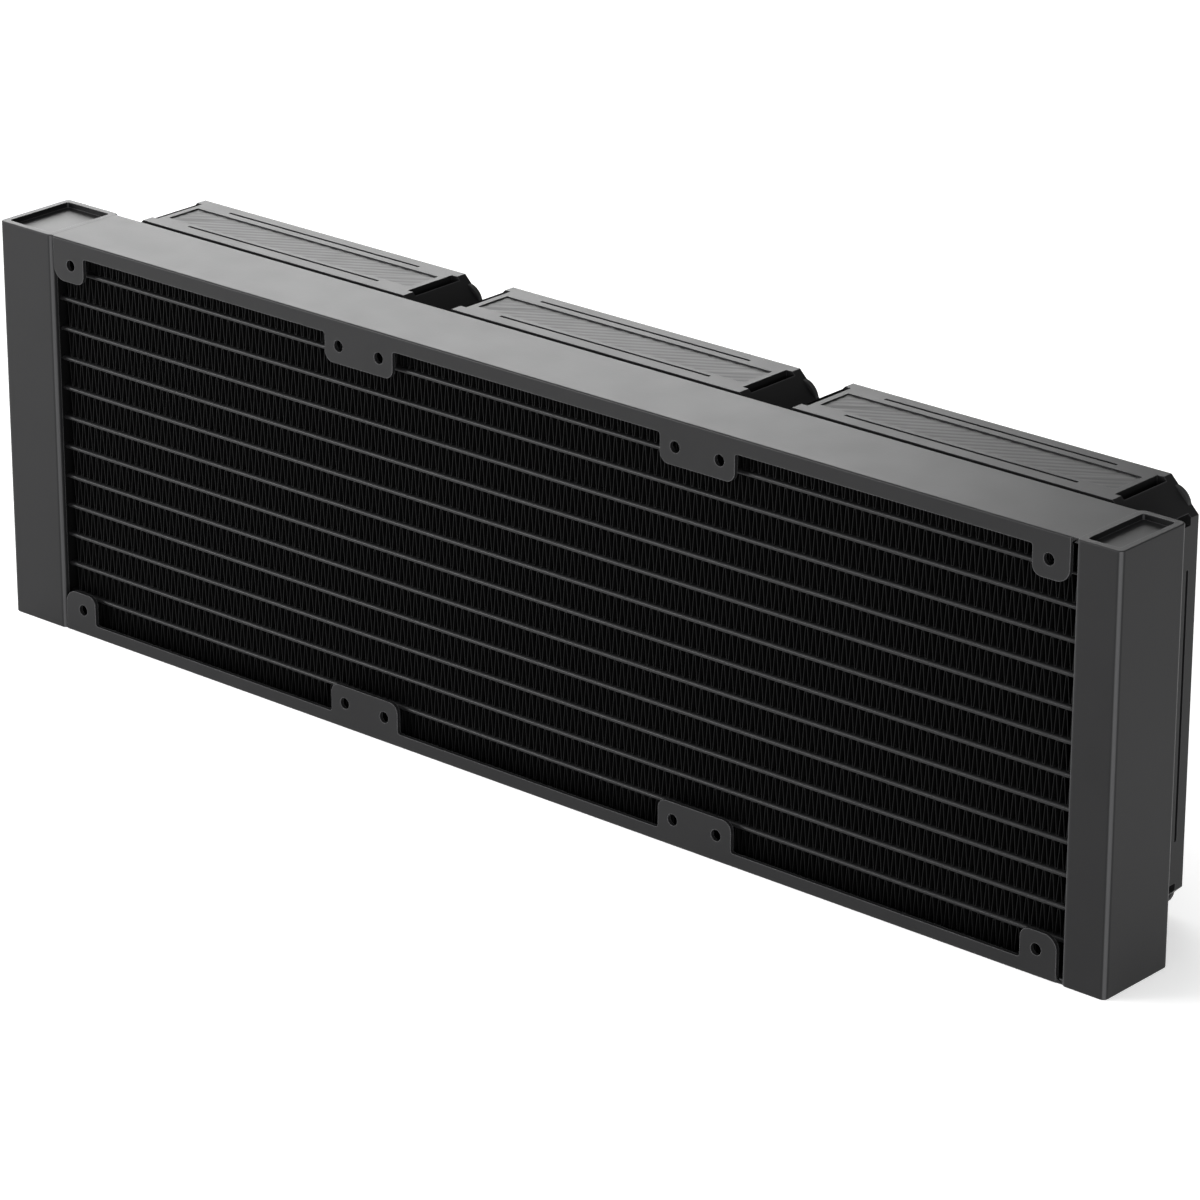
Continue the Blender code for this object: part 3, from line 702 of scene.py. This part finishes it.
class RadiatorStage(bpy.types.PropertyGroup):
    """The camera and the light."""

    def strength(name, description, default):
        return bpy.props.FloatProperty(
            name=name, description=description, default=default, min=0.0
        )

    def power(name, description, default):
        return bpy.props.FloatProperty(
            name=name, description=description, default=default, min=0.0, subtype="POWER",
            unit="POWER",
        )

    lens: bpy.props.FloatProperty(
        name="Lens", description="Focal length of the camera", default=161.55, min=1.0,
        subtype="DISTANCE_CAMERA",
    )
    surround: strength("Surround", "Strength of the light from all round", 0.18)
    horizon: strength("Horizon", "Strength of the light near the horizon", 0.30)
    floor_glow: strength("Floor glow", "Light that the floor gives off itself", 0.50)
    key_power: power("Key light", "Power of the large light behind on the left", 41.0)
    top_power: power("Top light", "Power of the large light overhead", 30.0)
    fill_power: power("Fill light", "Power of the light in front on the left", 14.0)
    edge_power: power("Edge light", "Power of the low light beside the camera", 14.0)


class RADIATOR_OT_stage(bpy.types.Operator):
    """Add the camera, the pale floor and the soft light"""

    bl_idname = "radiator.stage"
    bl_label = "Stage"

    def execute(self, context):
        stage = context.scene.radiator_stage
        context.scene.view_settings.view_transform = "Standard"
        camera = bpy.data.objects.new("camera", bpy.data.cameras.new("camera"))
        context.scene.collection.objects.link(camera)
        right = Vector(CAMERA_RIGHT).normalized()
        ahead = Vector(CAMERA_AHEAD).normalized()
        upward = right.cross(ahead).normalized()
        right = ahead.cross(upward)
        turn = Matrix((right, upward, -ahead)).transposed()
        camera.matrix_world = Matrix.Translation(CAMERA_PLACE) @ turn.to_4x4()
        camera.data.lens = stage.lens
        camera.data.sensor_width = 36.0
        camera.data.clip_end = 50.0
        context.scene.camera = camera

        deselect()
        bpy.ops.mesh.primitive_plane_add(size=30.0)
        floor = context.object
        floor.name = "floor"
        nodes = Nodes("pale_floor")
        tint = nodes.mixed(nodes.noise(3.0), (0.80, 0.80, 0.80), (0.84, 0.84, 0.84))
        nodes.link(tint, nodes.shader.inputs["Base Color"])
        nodes.set(Roughness=0.9, Specular_IOR_Level=0.0, Emission_Color=(1.0, 1.0, 1.0, 1.0))
        nodes.set(Emission_Strength=stage.floor_glow)
        floor.data.materials.append(nodes.material)
        context.scene.world = self.studio(stage)

        self.soft_light("key_light", (-2.28, 1.66, 1.0), (2.0, 1.1), stage.key_power)
        self.soft_light("top_light", (-0.7, -0.5, 2.3), (2.2, 2.2), stage.top_power)
        self.soft_light("fill_light", (-0.85, -0.95, 0.42), (0.5, 0.45), stage.fill_power)
        self.soft_light("edge_light", (1.25, -0.95, 0.3), (0.4, 0.6), stage.edge_power)
        return {"FINISHED"}

    def studio(self, stage):
        """A dark room with a pale band round the horizon."""
        world = bpy.data.worlds.new("studio")
        world.use_nodes = True
        tree = world.node_tree
        place = tree.nodes.new("ShaderNodeTexCoord")
        split = tree.nodes.new("ShaderNodeSeparateXYZ")
        band = tree.nodes.new("ShaderNodeMapRange")
        band.interpolation_type = "SMOOTHSTEP"
        band.inputs["From Min"].default_value = 0.12
        band.inputs["From Max"].default_value = 0.42
        band.inputs["To Min"].default_value = stage.horizon
        band.inputs["To Max"].default_value = stage.surround
        tree.links.new(place.outputs["Generated"], split.inputs["Vector"])
        tree.links.new(split.outputs["Z"], band.inputs["Value"])
        tree.links.new(band.outputs["Result"], tree.nodes["Background"].inputs["Strength"])
        tree.nodes["Background"].inputs["Color"].default_value = (1.0, 1.0, 1.0, 1.0)
        return world

    def soft_light(self, name, place, size, power):
        """A large soft light that faces the radiator."""
        light = bpy.data.lights.new(name, "AREA")
        light.shape = "RECTANGLE"
        light.size, light.size_y = size
        light.energy = power
        item = bpy.data.objects.new(name, light)
        item.location = place
        item.rotation_euler = (-Vector(place)).to_track_quat("-Z", "Y").to_euler()
        bpy.context.scene.collection.objects.link(item)


class RADIATOR_OT_tanks(bpy.types.Operator):
    """Model the two end tanks with their pockets, mouths and ports"""

    bl_idname = "radiator.tanks"
    bl_label = "Tanks"

    def execute(self, context):
        left = self.tank("left_tank", 1)
        back = span("left_tank", 1)[1]
        for height in (-PORT_SPACING / 2, PORT_SPACING / 2):
            place = (LOW[0] + PORT_FROM_END, MIDDLE_Z + height)
            inner, outer = back - PORT_BOSS_LENGTH, back - MM
            combined(left, rod("port_boss", PORT_BOSS_RADIUS, inner, outer, place, 64), "UNION")
            combined(left, self.threaded_port(place, back))
        right = self.tank("right_tank", -1)
        for piece, node in ((left, "left_tank"), (right, "right_tank")):
            cleaned(piece)
            flat_kept(shaded(piece))
            finished(piece, ROOT, coat_material(), [node])
        return {"FINISHED"}

    def threaded_port(self, place, back):
        """A cutter with a lead-in and the ridges of a pipe thread."""
        profile = [(0.0, back + CUT), (PORT_LEAD_IN, back + CUT), (PORT_RADIUS, back - CUT)]
        for turn in range(THREAD_TURNS):
            start = back - THREAD_START - turn * THREAD_PITCH
            profile.append((THREAD_RIDGE, start - 0.45 * THREAD_PITCH))
            profile.append((PORT_RADIUS, start - 0.9 * THREAD_PITCH))
        profile += [(PORT_RADIUS, back - PORT_DEPTH), (0.0, back - PORT_DEPTH)]
        return turned("port_cutter", profile, place, 64)

    def tank(self, node, inner_side):
        """A tank whose mouth is on its +X side (1) or its -X side (-1)."""
        sizes = bpy.context.scene.radiator_sizes
        low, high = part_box(node)
        piece = bar(f"{node}_shell", low, high)
        along(piece, 2)
        bpy.ops.mesh.bevel(offset=sizes.tank_corner, segments=8, affect="EDGES")
        done()
        modified(
            piece, "BEVEL", width=TANK_EDGE, segments=3, limit_method="ANGLE",
            angle_limit=math.radians(30.0),
        )
        wall = sizes.tank_wall
        for bottom in (low.z - CUT, high.z - sizes.pocket_depth):
            pocket = bar(
                "tank_pocket", (low.x + wall, low.y + wall, bottom),
                (high.x - wall, high.y - wall, bottom + sizes.pocket_depth + CUT),
            )
            along(pocket, 2)
            bpy.ops.mesh.bevel(offset=POCKET_CORNER, segments=4, affect="EDGES")
            done()
            combined(piece, pocket)
        floor = sizes.pocket_depth + POCKET_FLOOR
        if inner_side > 0:
            first, last = low.x + wall, high.x + CUT
        else:
            first, last = low.x - CUT, high.x - wall
        hollow = bar(
            "tank_hollow", (first, low.y + wall, low.z + floor),
            (last, high.y - wall, high.z - floor),
        )
        return combined(piece, hollow)


class RADIATOR_OT_headers(bpy.types.Operator):
    """Finish the slotted plates that hold the ends of the tubes in the fins' near-black, which on
    them is painted shade
    """

    bl_idname = "radiator.headers"
    bl_label = "Headers"

    def execute(self, context):
        for node in ("left_header", "right_header"):
            # The headers sit in shade; their near-black is painted shade.
            refinished(node, fin_and_header_shade_material())
        return {"FINISHED"}


class RADIATOR_OT_tubes(bpy.types.Operator):
    """Model the flat coolant tubes with their round noses"""

    bl_idname = "radiator.tubes"
    bl_label = "Tubes"

    def execute(self, context):
        low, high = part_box("tube_01")
        thickness = high.z - low.z
        middle = (low.z + high.z) / 2
        nose = thickness / 2
        section = arc(high.y - nose, middle, nose, -90.0, 90.0, 8)
        section += arc(low.y + nose, middle, nose, 90.0, 270.0, 8)
        section.append(section[0])
        first = drawn("coolant_tube_01", [(low.x, y, z) for y, z in section])
        outward(first)
        stretched(first, (high.x - low.x, 0.0, 0.0))
        outward(first)
        modified(first, "SOLIDIFY", thickness=TUBE_WALL, offset=-1.0)
        shaded(first, 40.0)
        for number in range(2, TUBE_COUNT + 1):
            node = f"tube_{number:02d}"
            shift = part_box(node)[0] - low
            twin = copied(first, f"coolant_{node}", shift)
            finished(twin, ROOT, coat_material(), [node])
        finished(first, ROOT, coat_material(), ["tube_01"])
        return {"FINISHED"}


class RADIATOR_OT_fins(bpy.types.Operator):
    """Model the folded fin strips between the tubes"""

    bl_idname = "radiator.fins"
    bl_label = "Fins"

    def execute(self, context):
        sizes = context.scene.radiator_sizes
        low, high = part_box("fin_row_01")
        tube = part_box("tube_01")[0].z
        middle = (low.z + high.z) / 2
        reach = tube - FIN_TO_TUBE - middle
        fold = self.fold(reach - sizes.fin_sheet / 2)
        count = int((high.x - low.x) / sizes.fin_pitch)
        start = (low.x + high.x - count * sizes.fin_pitch) / 2
        points = [(start + x, low.y, middle + z) for x, z in fold]
        first = drawn("fin_strip_01", points)
        stretched(first, (0.0, high.y - low.y, 0.0))
        modified(
            first, "ARRAY", count=count, use_relative_offset=False, use_constant_offset=True,
            constant_offset_displace=(sizes.fin_pitch, 0.0, 0.0), use_merge_vertices=True,
            merge_threshold=0.01 * MM,
        )
        outward(first)
        modified(first, "SOLIDIFY", thickness=sizes.fin_sheet, offset=0.0, use_even_offset=True)
        shaded(first, 45.0)
        for number in range(2, FIN_ROW_COUNT + 1):
            node = f"fin_row_{number:02d}"
            shift = (0.0, 0.0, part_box(node)[0].z - low.z)
            twin = copied(first, f"fin_strip_{number:02d}", shift)
            finished(twin, ROOT, fin_and_header_shade_material(), [node])
        finished(first, ROOT, fin_and_header_shade_material(), ["fin_row_01"])
        return {"FINISHED"}

    def fold(self, reach):
        """One whole fold of the strip as (x, z), from a crest to the next crest."""
        sizes = bpy.context.scene.radiator_sizes
        half = sizes.fin_pitch / 2
        bend = sizes.fin_bend
        drop = 2 * (reach - bend)
        across = math.hypot(half, drop)
        lean = math.degrees(math.atan2(-drop, half) + math.acos(2 * bend / across))
        top = arc(0.0, reach - bend, bend, 90.0, lean, 2)
        low = arc(half, bend - reach, bend, lean + 180.0, 270.0, 2)
        down = top + low
        back = [(2 * half - x, z) for x, z in reversed(down)]
        return down + back[1:]


class RADIATOR_OT_channels(bpy.types.Operator):
    """Model the bent side channels with their drilled tabs"""

    bl_idname = "radiator.channels"
    bl_label = "Side channels"

    def execute(self, context):
        for node, side in (("top_channel", 1), ("bottom_channel", -1)):
            piece = self.channel(node, side)
            finished(piece, ROOT, coat_material(), [node])
        return {"FINISHED"}

    def channel(self, node, side):
        """A sheet bent round the core: its plate reaches both tanks and its tabs stop short."""
        sizes = bpy.context.scene.radiator_sizes
        low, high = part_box(node)
        high.y -= CHANNEL_TRIM
        edge, tip = (high.z, low.z) if side > 0 else (low.z, high.z)
        start, end = low.x - CHANNEL_LAP, high.x + CHANNEL_LAP
        bend = sizes.channel_bend
        sheet = sizes.channel_sheet
        inside = edge - side * sheet
        section = [(low.y, tip)]
        section += self.bend(low.y + bend, edge - side * bend, bend, side, 180.0, 90.0)
        section += self.bend(high.y - bend, edge - side * bend, bend, side, 90.0, 0.0)
        section += [(high.y, tip), (high.y - sheet, tip), (high.y - sheet, inside)]
        section += [(low.y + sheet, inside), (low.y + sheet, tip)]
        section = [(y, z if z == tip else z + side * CHANNEL_LIFT) for y, z in section]
        piece = drawn(f"{node}_sheet", [(start, y, z) for y, z in section], closed=True)
        outward(stretched(piece, (end - start, 0.0, 0.0)))
        for cutter in self.openings(low, high, edge, side):
            combined(piece, cutter)
        cleaned(piece)
        return soften(piece, CHANNEL_EDGE, 2, 40.0)

    def bend(self, y, z, radius, side, first, last):
        """Points (y, z) on a bend, turned over for the lower channel."""
        return [(a, z + side * (b - z)) for a, b in arc(y, z, radius, first, last, 6)]

    def openings(self, low, high, edge, side):
        """Cutters for the spaces beside and between the tabs, and for the screw holes."""
        middle = fan_axis(2)[0]
        start, end = low.y - CUT, high.y + CUT
        left = middle - low.x - FROM_LEFT_TANK
        right = high.x - middle - FROM_RIGHT_TANK
        solids = []
        for way, reach in ((-1, left), (1, right)):
            first, last = sorted((middle + way * reach, middle + way * (reach + END_SPACE)))
            bottom, top = sorted((edge - side * 2 * MM, edge + side * CUT))
            solids.append(
                bar("bend_relief", (first, start, bottom), (last, low.y + RELIEF_DEPTH, top))
            )
        outlines = [self.tab_gap(gap * FAN_PITCH, side) for gap in (-1, 0, 1)]
        outlines += [self.end_space(way, reach) for way, reach in ((-1, left), (1, right))]
        for points in outlines:
            placed = [(middle + x, edge - side * z) for x, z in points]
            solids.append(outline("channel_opening", placed, start, end))
        row = MIDDLE_Z + side * HOLE_PITCH / 2
        for number in FANS:
            for way in (-1, 1):
                place = (fan_axis(number)[0] + way * HOLE_PITCH / 2, row)
                solids.append(rod("screw_hole", TAB_HOLE_RADIUS, start, end, place, 32))
        return solids

    def tab_gap(self, middle, side):
        """The space between two tabs as (x, depth below the plate's face)."""
        flange = UPPER_FLANGE if side > 0 else LOWER_FLANGE
        first = middle - FAN_PITCH / 2 + TAB_HALF_WIDTH
        last = middle + FAN_PITCH / 2 - TAB_HALF_WIDTH
        corner, fillet = TAB_CORNER, TAB_FILLET
        points = [(first - corner, TAB_HEIGHT + CUT)]
        points += arc(first - corner, TAB_HEIGHT - corner, corner, 90.0, 0.0, 8)
        points += arc(first + fillet, flange + fillet, fillet, 180.0, 270.0, 4)
        points += arc(last - fillet, flange + fillet, fillet, 270.0, 360.0, 4)
        points += arc(last + corner, TAB_HEIGHT - corner, corner, 180.0, 90.0, 8)
        points.append((last + corner, TAB_HEIGHT + CUT))
        return points

    def end_space(self, way, reach):
        """The space past the round corner of an end tab, clear of the plate above it."""
        sheet = bpy.context.scene.radiator_sizes.channel_sheet + 0.05 * MM
        past = reach + END_SPACE
        corner = END_TAB_CORNER
        points = [(past, TAB_HEIGHT + CUT), (reach - corner, TAB_HEIGHT + CUT)]
        points += arc(reach - corner, TAB_HEIGHT - corner, corner, 90.0, 0.0, 8)
        points += [(reach, sheet), (past, sheet)]
        return [(way * x, z) for x, z in points]


class RADIATOR_OT_fan_frames(bpy.types.Operator):
    """Model the three fan frames, their ribbed side panels and their corner pads"""

    bl_idname = "radiator.fan_frames"
    bl_label = "Fan frames"

    def execute(self, context):
        self.x, self.z = fan_axis(1)
        self.half = (span("fan_1_frame", 0)[1] - span("fan_1_frame", 0)[0]) / 2
        body = self.block()
        self.side_cuts(body)
        self.throat(body)
        cleaned(body)
        soften(body, FAN_EDGE, 2, 35.0)
        first = {
            "housing": (body, frame_material()),
            "spider": (self.spider(), frame_material()),
            "pads": (self.pads(), rubber_material()),
            "panels": (self.panels(), panel_material()),
        }
        for number in FANS:
            shift = (fan_axis(number)[0] - self.x, 0.0, 0.0)
            for name, (piece, material) in first.items():
                twin = copied(piece, f"fan_{number}_{name}", shift)
                nodes = [f"fan_{number}_frame"] if name == "housing" else []
                finished(twin, ROOT, material, nodes)
        for piece, material in first.values():
            bpy.data.objects.remove(piece, do_unlink=True)
        return {"FINISHED"}

    def block(self):
        """A square frame whose four corners are cut flat."""
        low = (self.x - self.half, FAN_Y, self.z - self.half)
        high = (self.x + self.half, FAN_Y + FAN_DEPTH, self.z + self.half)
        piece = bar("frame_block", low, high)
        along(piece, 1)
        bpy.ops.mesh.bevel(offset=FAN_CORNER_CUT, segments=1, affect="EDGES")
        done()
        return piece

    def turned_copies(self, piece, name):
        """Copies on the four sides of the frame."""
        copies = []
        for quarter in range(4):
            twin = copied(piece, name, (0.0, 0.0, 0.0))
            copies.append(turned_round(twin, (self.x, self.z), math.radians(90.0 * quarter)))
        bpy.data.objects.remove(piece, do_unlink=True)
        return copies

    def side_cuts(self, body):
        """Cut the panel, the two grooves and the two end notches into each side."""
        top = self.z + self.half
        middle = FAN_Y + PANEL_MIDDLE
        groove = bpy.context.scene.radiator_sizes.groove_width / 2
        long, wide = PANEL_LENGTH / 2, PANEL_WIDTH / 2
        near, far = NOTCH_SPAN
        notch = [FAN_Y + y for y in NOTCH_WIDE]
        boxes = [
            ((-long, long), (middle - wide, middle + wide), PANEL_RECESS),
            ((-far, -near), notch, NOTCH_DEPTH),
            ((near, far), notch, NOTCH_DEPTH),
        ]
        for place in GROOVE_PLACES:
            y = FAN_Y + place
            long = GROOVE_LENGTH / 2
            boxes.append(((-long, long), (y - groove, y + groove), GROOVE_DEPTH))
        for (x0, x1), (y0, y1), depth in boxes:
            cutter = bar(
                "side_cut", (self.x + x0, y0, top - depth), (self.x + x1, y1, top + CUT)
            )
            for twin in self.turned_copies(cutter, "side_cut"):
                combined(body, twin)

    def throat(self, body):
        """Bore the round throat and the screw holes."""
        start, end = FAN_Y - CUT, FAN_Y + FAN_DEPTH + CUT
        seat = FAN_Y + FAN_DEPTH - COUNTERBORE_DEPTH
        combined(body, rod("throat", THROAT_RADIUS, start, end, (self.x, self.z), 128))
        for place in self.corners():
            combined(body, rod("hole", HOLE_RADIUS, start, end, place, 32))
            combined(body, rod("counterbore", COUNTERBORE_RADIUS, seat, end, place, 32))

    def corners(self):
        half = HOLE_PITCH / 2
        return [(self.x + a * half, self.z + b * half) for a in (-1, 1) for b in (-1, 1)]

    def spider(self):
        """The hub plate with its bearing housing and four struts."""
        place = (self.x, self.z)
        near, far, top = FAN_Y + HUB_START, FAN_Y + HUB_END, FAN_Y + HOUSING_END
        profile = [
            (0.0, near), (HUB_RADIUS - 1.2 * MM, near), (HUB_RADIUS - 0.3 * MM, near + 0.3 * MM),
            (HUB_RADIUS, near + MM), (HUB_RADIUS, far), (HOUSING_RADIUS, far),
            (HOUSING_RADIUS, top), (HOUSING_BORE, top), (HOUSING_BORE, far), (0.0, far),
        ]
        hub = turned("fan_spider", profile, place, 64)
        for number in range(STRUT_COUNT):
            strut = bar(
                "strut", (self.x + HUB_RADIUS - 2 * MM, near + 0.2 * MM, self.z - STRUT_WIDTH / 2),
                (self.x + THROAT_RADIUS + 0.2 * MM, far - 0.2 * MM, self.z + STRUT_WIDTH / 2),
            )
            along(strut, 0)
            bpy.ops.mesh.bevel(offset=STRUT_ROUND, segments=3, affect="EDGES")
            done()
            turned_round(strut, place, math.radians(45.0 + 90.0 * number))
            combined(hub, strut, "UNION")
        cleaned(hub)
        return shaded(hub, 35.0)

    def pads(self):
        """Round rubber pads at the corners of both faces."""
        rings = []
        last = FAN_Y + FAN_DEPTH
        inner_face = (HOLE_RADIUS, FAN_Y - PAD_STANDS_OUT, FAN_Y + PAD_THICKNESS)
        outer_face = (COUNTERBORE_RADIUS, last - PAD_THICKNESS, last)
        for hole, near, far in (inner_face, outer_face):
            for place in self.corners():
                profile = [(hole, near), (PAD_RADIUS, near), (PAD_RADIUS, far), (hole, far)]
                rings.append(turned("pad", [*profile, profile[0]], place, 48))
        pads = merged(rings[0], rings[1:])
        return soften(pads, 0.25 * MM, 2, 40.0)

    def panels(self):
        """Slanted ribs on the floor of each side panel."""
        sizes = bpy.context.scene.radiator_sizes
        floor = self.z + self.half - PANEL_RECESS + 0.01 * MM
        centre = Vector((self.x, FAN_Y + PANEL_MIDDLE, floor))
        length, width = PANEL_LENGTH - 2 * PANEL_MARGIN, PANEL_WIDTH - 2 * PANEL_MARGIN
        deselect()
        bpy.ops.mesh.primitive_plane_add(size=1.0, location=centre)
        plane = bpy.context.object
        plane.scale = (length, width, 1.0)
        settle(plane)
        across = Vector((-math.sin(RIB_SLANT), math.cos(RIB_SLANT), 0.0))
        reach = (length * math.sin(RIB_SLANT) + width * math.cos(RIB_SLANT)) / 2
        step = sizes.rib_pitch / 2
        count = int(reach / step)
        pick(plane, "FACE", lambda face: True)
        for line in range(-count, count + 1):
            bpy.ops.mesh.select_all(action="SELECT")
            bpy.ops.mesh.bisect(plane_co=centre + across * step * line, plane_no=across)
        done()
        for point in plane.data.vertices:
            place = (point.co - centre).dot(across) / step
            if round(place) % 2 and abs(place - round(place)) < 0.01:
                point.co.z += sizes.rib_height
        shaded(plane, 60.0)
        copies = self.turned_copies(plane, "panel")
        return merged(copies[0], copies[1:])


class RADIATOR_OT_rotors(bpy.types.Operator):
    """Model the three rotors: a plain cup with swept blades"""

    bl_idname = "radiator.rotors"
    bl_label = "Rotors"

    def execute(self, context):
        place = fan_axis(1)
        rotor = merged(self.cup(place), self.blades(place))
        for number in FANS:
            shift = (fan_axis(number)[0] - place[0], 0.0, 0.0)
            piece = copied(rotor, f"fan_{number}_impeller", shift)
            finished(
                piece, f"rotor_{number}", rotor_material(), [f"fan_{number}_rotor"]
            )
        bpy.data.objects.remove(rotor, do_unlink=True)
        return {"FINISHED"}

    def cup(self, place):
        """A cup with a round groove in its face and a boss for the shaft."""
        face, rim = FAN_Y + CUP_FACE, FAN_Y + CUP_RIM
        boss, shaft = FAN_Y + BOSS_START, FAN_Y + SHAFT_END
        inside, groove = face - CUP_WALL, face - CUP_GROOVE
        profile = [(0.0, face), (13.0 * MM, face), (13.4 * MM, groove)]
        profile += [(14.0 * MM, groove), (14.4 * MM, face)]
        profile += arc(CUP_RADIUS - CUP_CORNER, face - CUP_CORNER, CUP_CORNER, 90.0, 0.0, 8)
        profile += [
            (CUP_RADIUS, rim), (CUP_BORE, rim), (CUP_BORE, inside), (BOSS_RADIUS, inside),
            (BOSS_RADIUS, boss), (SHAFT_ROOM, boss), (SHAFT_ROOM, shaft), (0.0, shaft),
        ]
        return shaded(turned("rotor_cup", profile, place, 96), 35.0)

    def blades(self, place):
        """Swept and twisted blades with rounded edges."""
        count = bpy.context.scene.radiator_sizes.blade_count
        deselect()
        bpy.ops.mesh.primitive_grid_add(x_subdivisions=16, y_subdivisions=20, size=1.0)
        blade = bpy.context.object
        sweep, more_sweep = BLADE_SWEEP
        for point in blade.data.vertices:
            out = point.co.x + 0.5
            chord = point.co.y
            radius = BLADE_ROOT + (BLADE_TIP - BLADE_ROOT) * out
            angle = math.radians((sweep + more_sweep * out) * chord + BLADE_LEAN * out * out)
            depth = BLADE_DEPTH * (1.0 - BLADE_TAPER * out)
            camber = BLADE_CAMBER * (1.0 - 4.0 * chord * chord)
            point.co = (
                place[0] + radius * math.cos(angle), FAN_Y + BLADE_MIDDLE + depth * chord - camber,
                place[1] + radius * math.sin(angle),
            )
        outward(blade)
        modified(blade, "SOLIDIFY", thickness=BLADE_SHEET, offset=0.0)
        soften(blade, BLADE_EDGE, 2, 40.0)
        copies = []
        for number in range(count):
            twin = copied(blade, "blade", (0.0, 0.0, 0.0))
            copies.append(turned_round(twin, place, math.tau * number / count))
        bpy.data.objects.remove(blade, do_unlink=True)
        return copies


class RADIATOR_OT_motors(bpy.types.Operator):
    """Finish the stators, bearings and shafts inside the rotors"""

    bl_idname = "radiator.motors"
    bl_label = "Motors"

    def execute(self, context):
        copper = made_material("wound_copper", windings, (0.62, 0.25, 0.10), (0.10, 0.08, 0.07))
        bronze = made_material(
            "sintered_bronze", metal, (0.48, 0.32, 0.15), 0.42, 2600.0, 0.01 * MM
        )
        steel = made_material(
            "ground_steel", metal, (0.62, 0.62, 0.63), 0.22, 900.0, 0.004 * MM, (1.0, 14.0, 1.0)
        )
        for number in FANS:
            refinished(f"fan_{number}_stator", copper)
            refinished(f"fan_{number}_bearing", bronze)
            refinished(f"fan_{number}_shaft", steel)
        return {"FINISHED"}


class RADIATOR_OT_screws(bpy.types.Operator):
    """Model the long fan screws with a cross recess"""

    bl_idname = "radiator.screws"
    bl_label = "Screws"

    def execute(self, context):
        low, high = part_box("fan_1_screw_1")
        place = ((low.x + high.x) / 2, (low.z + high.z) / 2)
        top = high.y
        seat = top - HEAD_HEIGHT
        profile = [(0.0, top)]
        profile += arc(1.2 * MM, top - HEAD_CROWN, HEAD_CROWN, 80.0, 10.0, 6)
        profile += [(HEAD_RADIUS, seat + 0.3 * MM), (HEAD_RADIUS, seat), (SHANK_RADIUS, seat)]
        profile += [(SHANK_RADIUS, low.y + 0.6 * MM), (SHANK_POINT, low.y), (0.0, low.y)]
        screw = turned("fan_1_fastener_1", profile, place, 32)
        for wide, tall in ((CROSS_LENGTH, CROSS_WIDTH), (CROSS_WIDTH, CROSS_LENGTH)):
            cross = bar(
                "cross", (place[0] - wide, top - CROSS_DEPTH, place[1] - tall),
                (place[0] + wide, top + CUT, place[1] + tall),
            )
            combined(screw, cross)
        cleaned(screw)
        shaded(screw, 40.0)
        for number in FANS:
            for count in range(1, 5):
                if (number, count) == (1, 1):
                    continue
                node = f"fan_{number}_screw_{count}"
                twin = copied(screw, f"fan_{number}_fastener_{count}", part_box(node)[0] - low)
                finished(twin, ROOT, screw_material(), [node])
        finished(screw, ROOT, screw_material(), ["fan_1_screw_1"])
        return {"FINISHED"}


OPERATORS = (
    RADIATOR_OT_stage,
    RADIATOR_OT_tanks,
    RADIATOR_OT_headers,
    RADIATOR_OT_tubes,
    RADIATOR_OT_fins,
    RADIATOR_OT_channels,
    RADIATOR_OT_fan_frames,
    RADIATOR_OT_rotors,
    RADIATOR_OT_motors,
    RADIATOR_OT_screws,
)


class RADIATOR_PT_pieces(bpy.types.Panel):
    """Sizes, finishes and pieces of the radiator"""

    bl_idname = "RADIATOR_PT_pieces"
    bl_label = "Liquid Cooling Radiator"
    bl_space_type = "VIEW_3D"
    bl_region_type = "UI"
    bl_category = "Radiator"

    def draw(self, context):
        for group in ("radiator_sizes", "radiator_finish", "radiator_stage"):
            settings = getattr(context.scene, group)
            box = self.layout.box()
            for name in settings.__annotations__:
                box.prop(settings, name)
        for operator in OPERATORS:
            self.layout.operator(operator.bl_idname)


CLASSES = (RadiatorSizes, RadiatorFinish, RadiatorStage, *OPERATORS, RADIATOR_PT_pieces)


def register():
    for item in CLASSES:
        bpy.utils.register_class(item)
    bpy.types.Scene.radiator_sizes = bpy.props.PointerProperty(type=RadiatorSizes)
    bpy.types.Scene.radiator_finish = bpy.props.PointerProperty(type=RadiatorFinish)
    bpy.types.Scene.radiator_stage = bpy.props.PointerProperty(type=RadiatorStage)


def unregister():
    del bpy.types.Scene.radiator_stage
    del bpy.types.Scene.radiator_finish
    del bpy.types.Scene.radiator_sizes
    for item in reversed(CLASSES):
        bpy.utils.unregister_class(item)


def main():
    register()
    for operator in OPERATORS:
        group, name = operator.bl_idname.split(".")
        getattr(getattr(bpy.ops, group), name)()


if __name__ == "__main__":
    main()
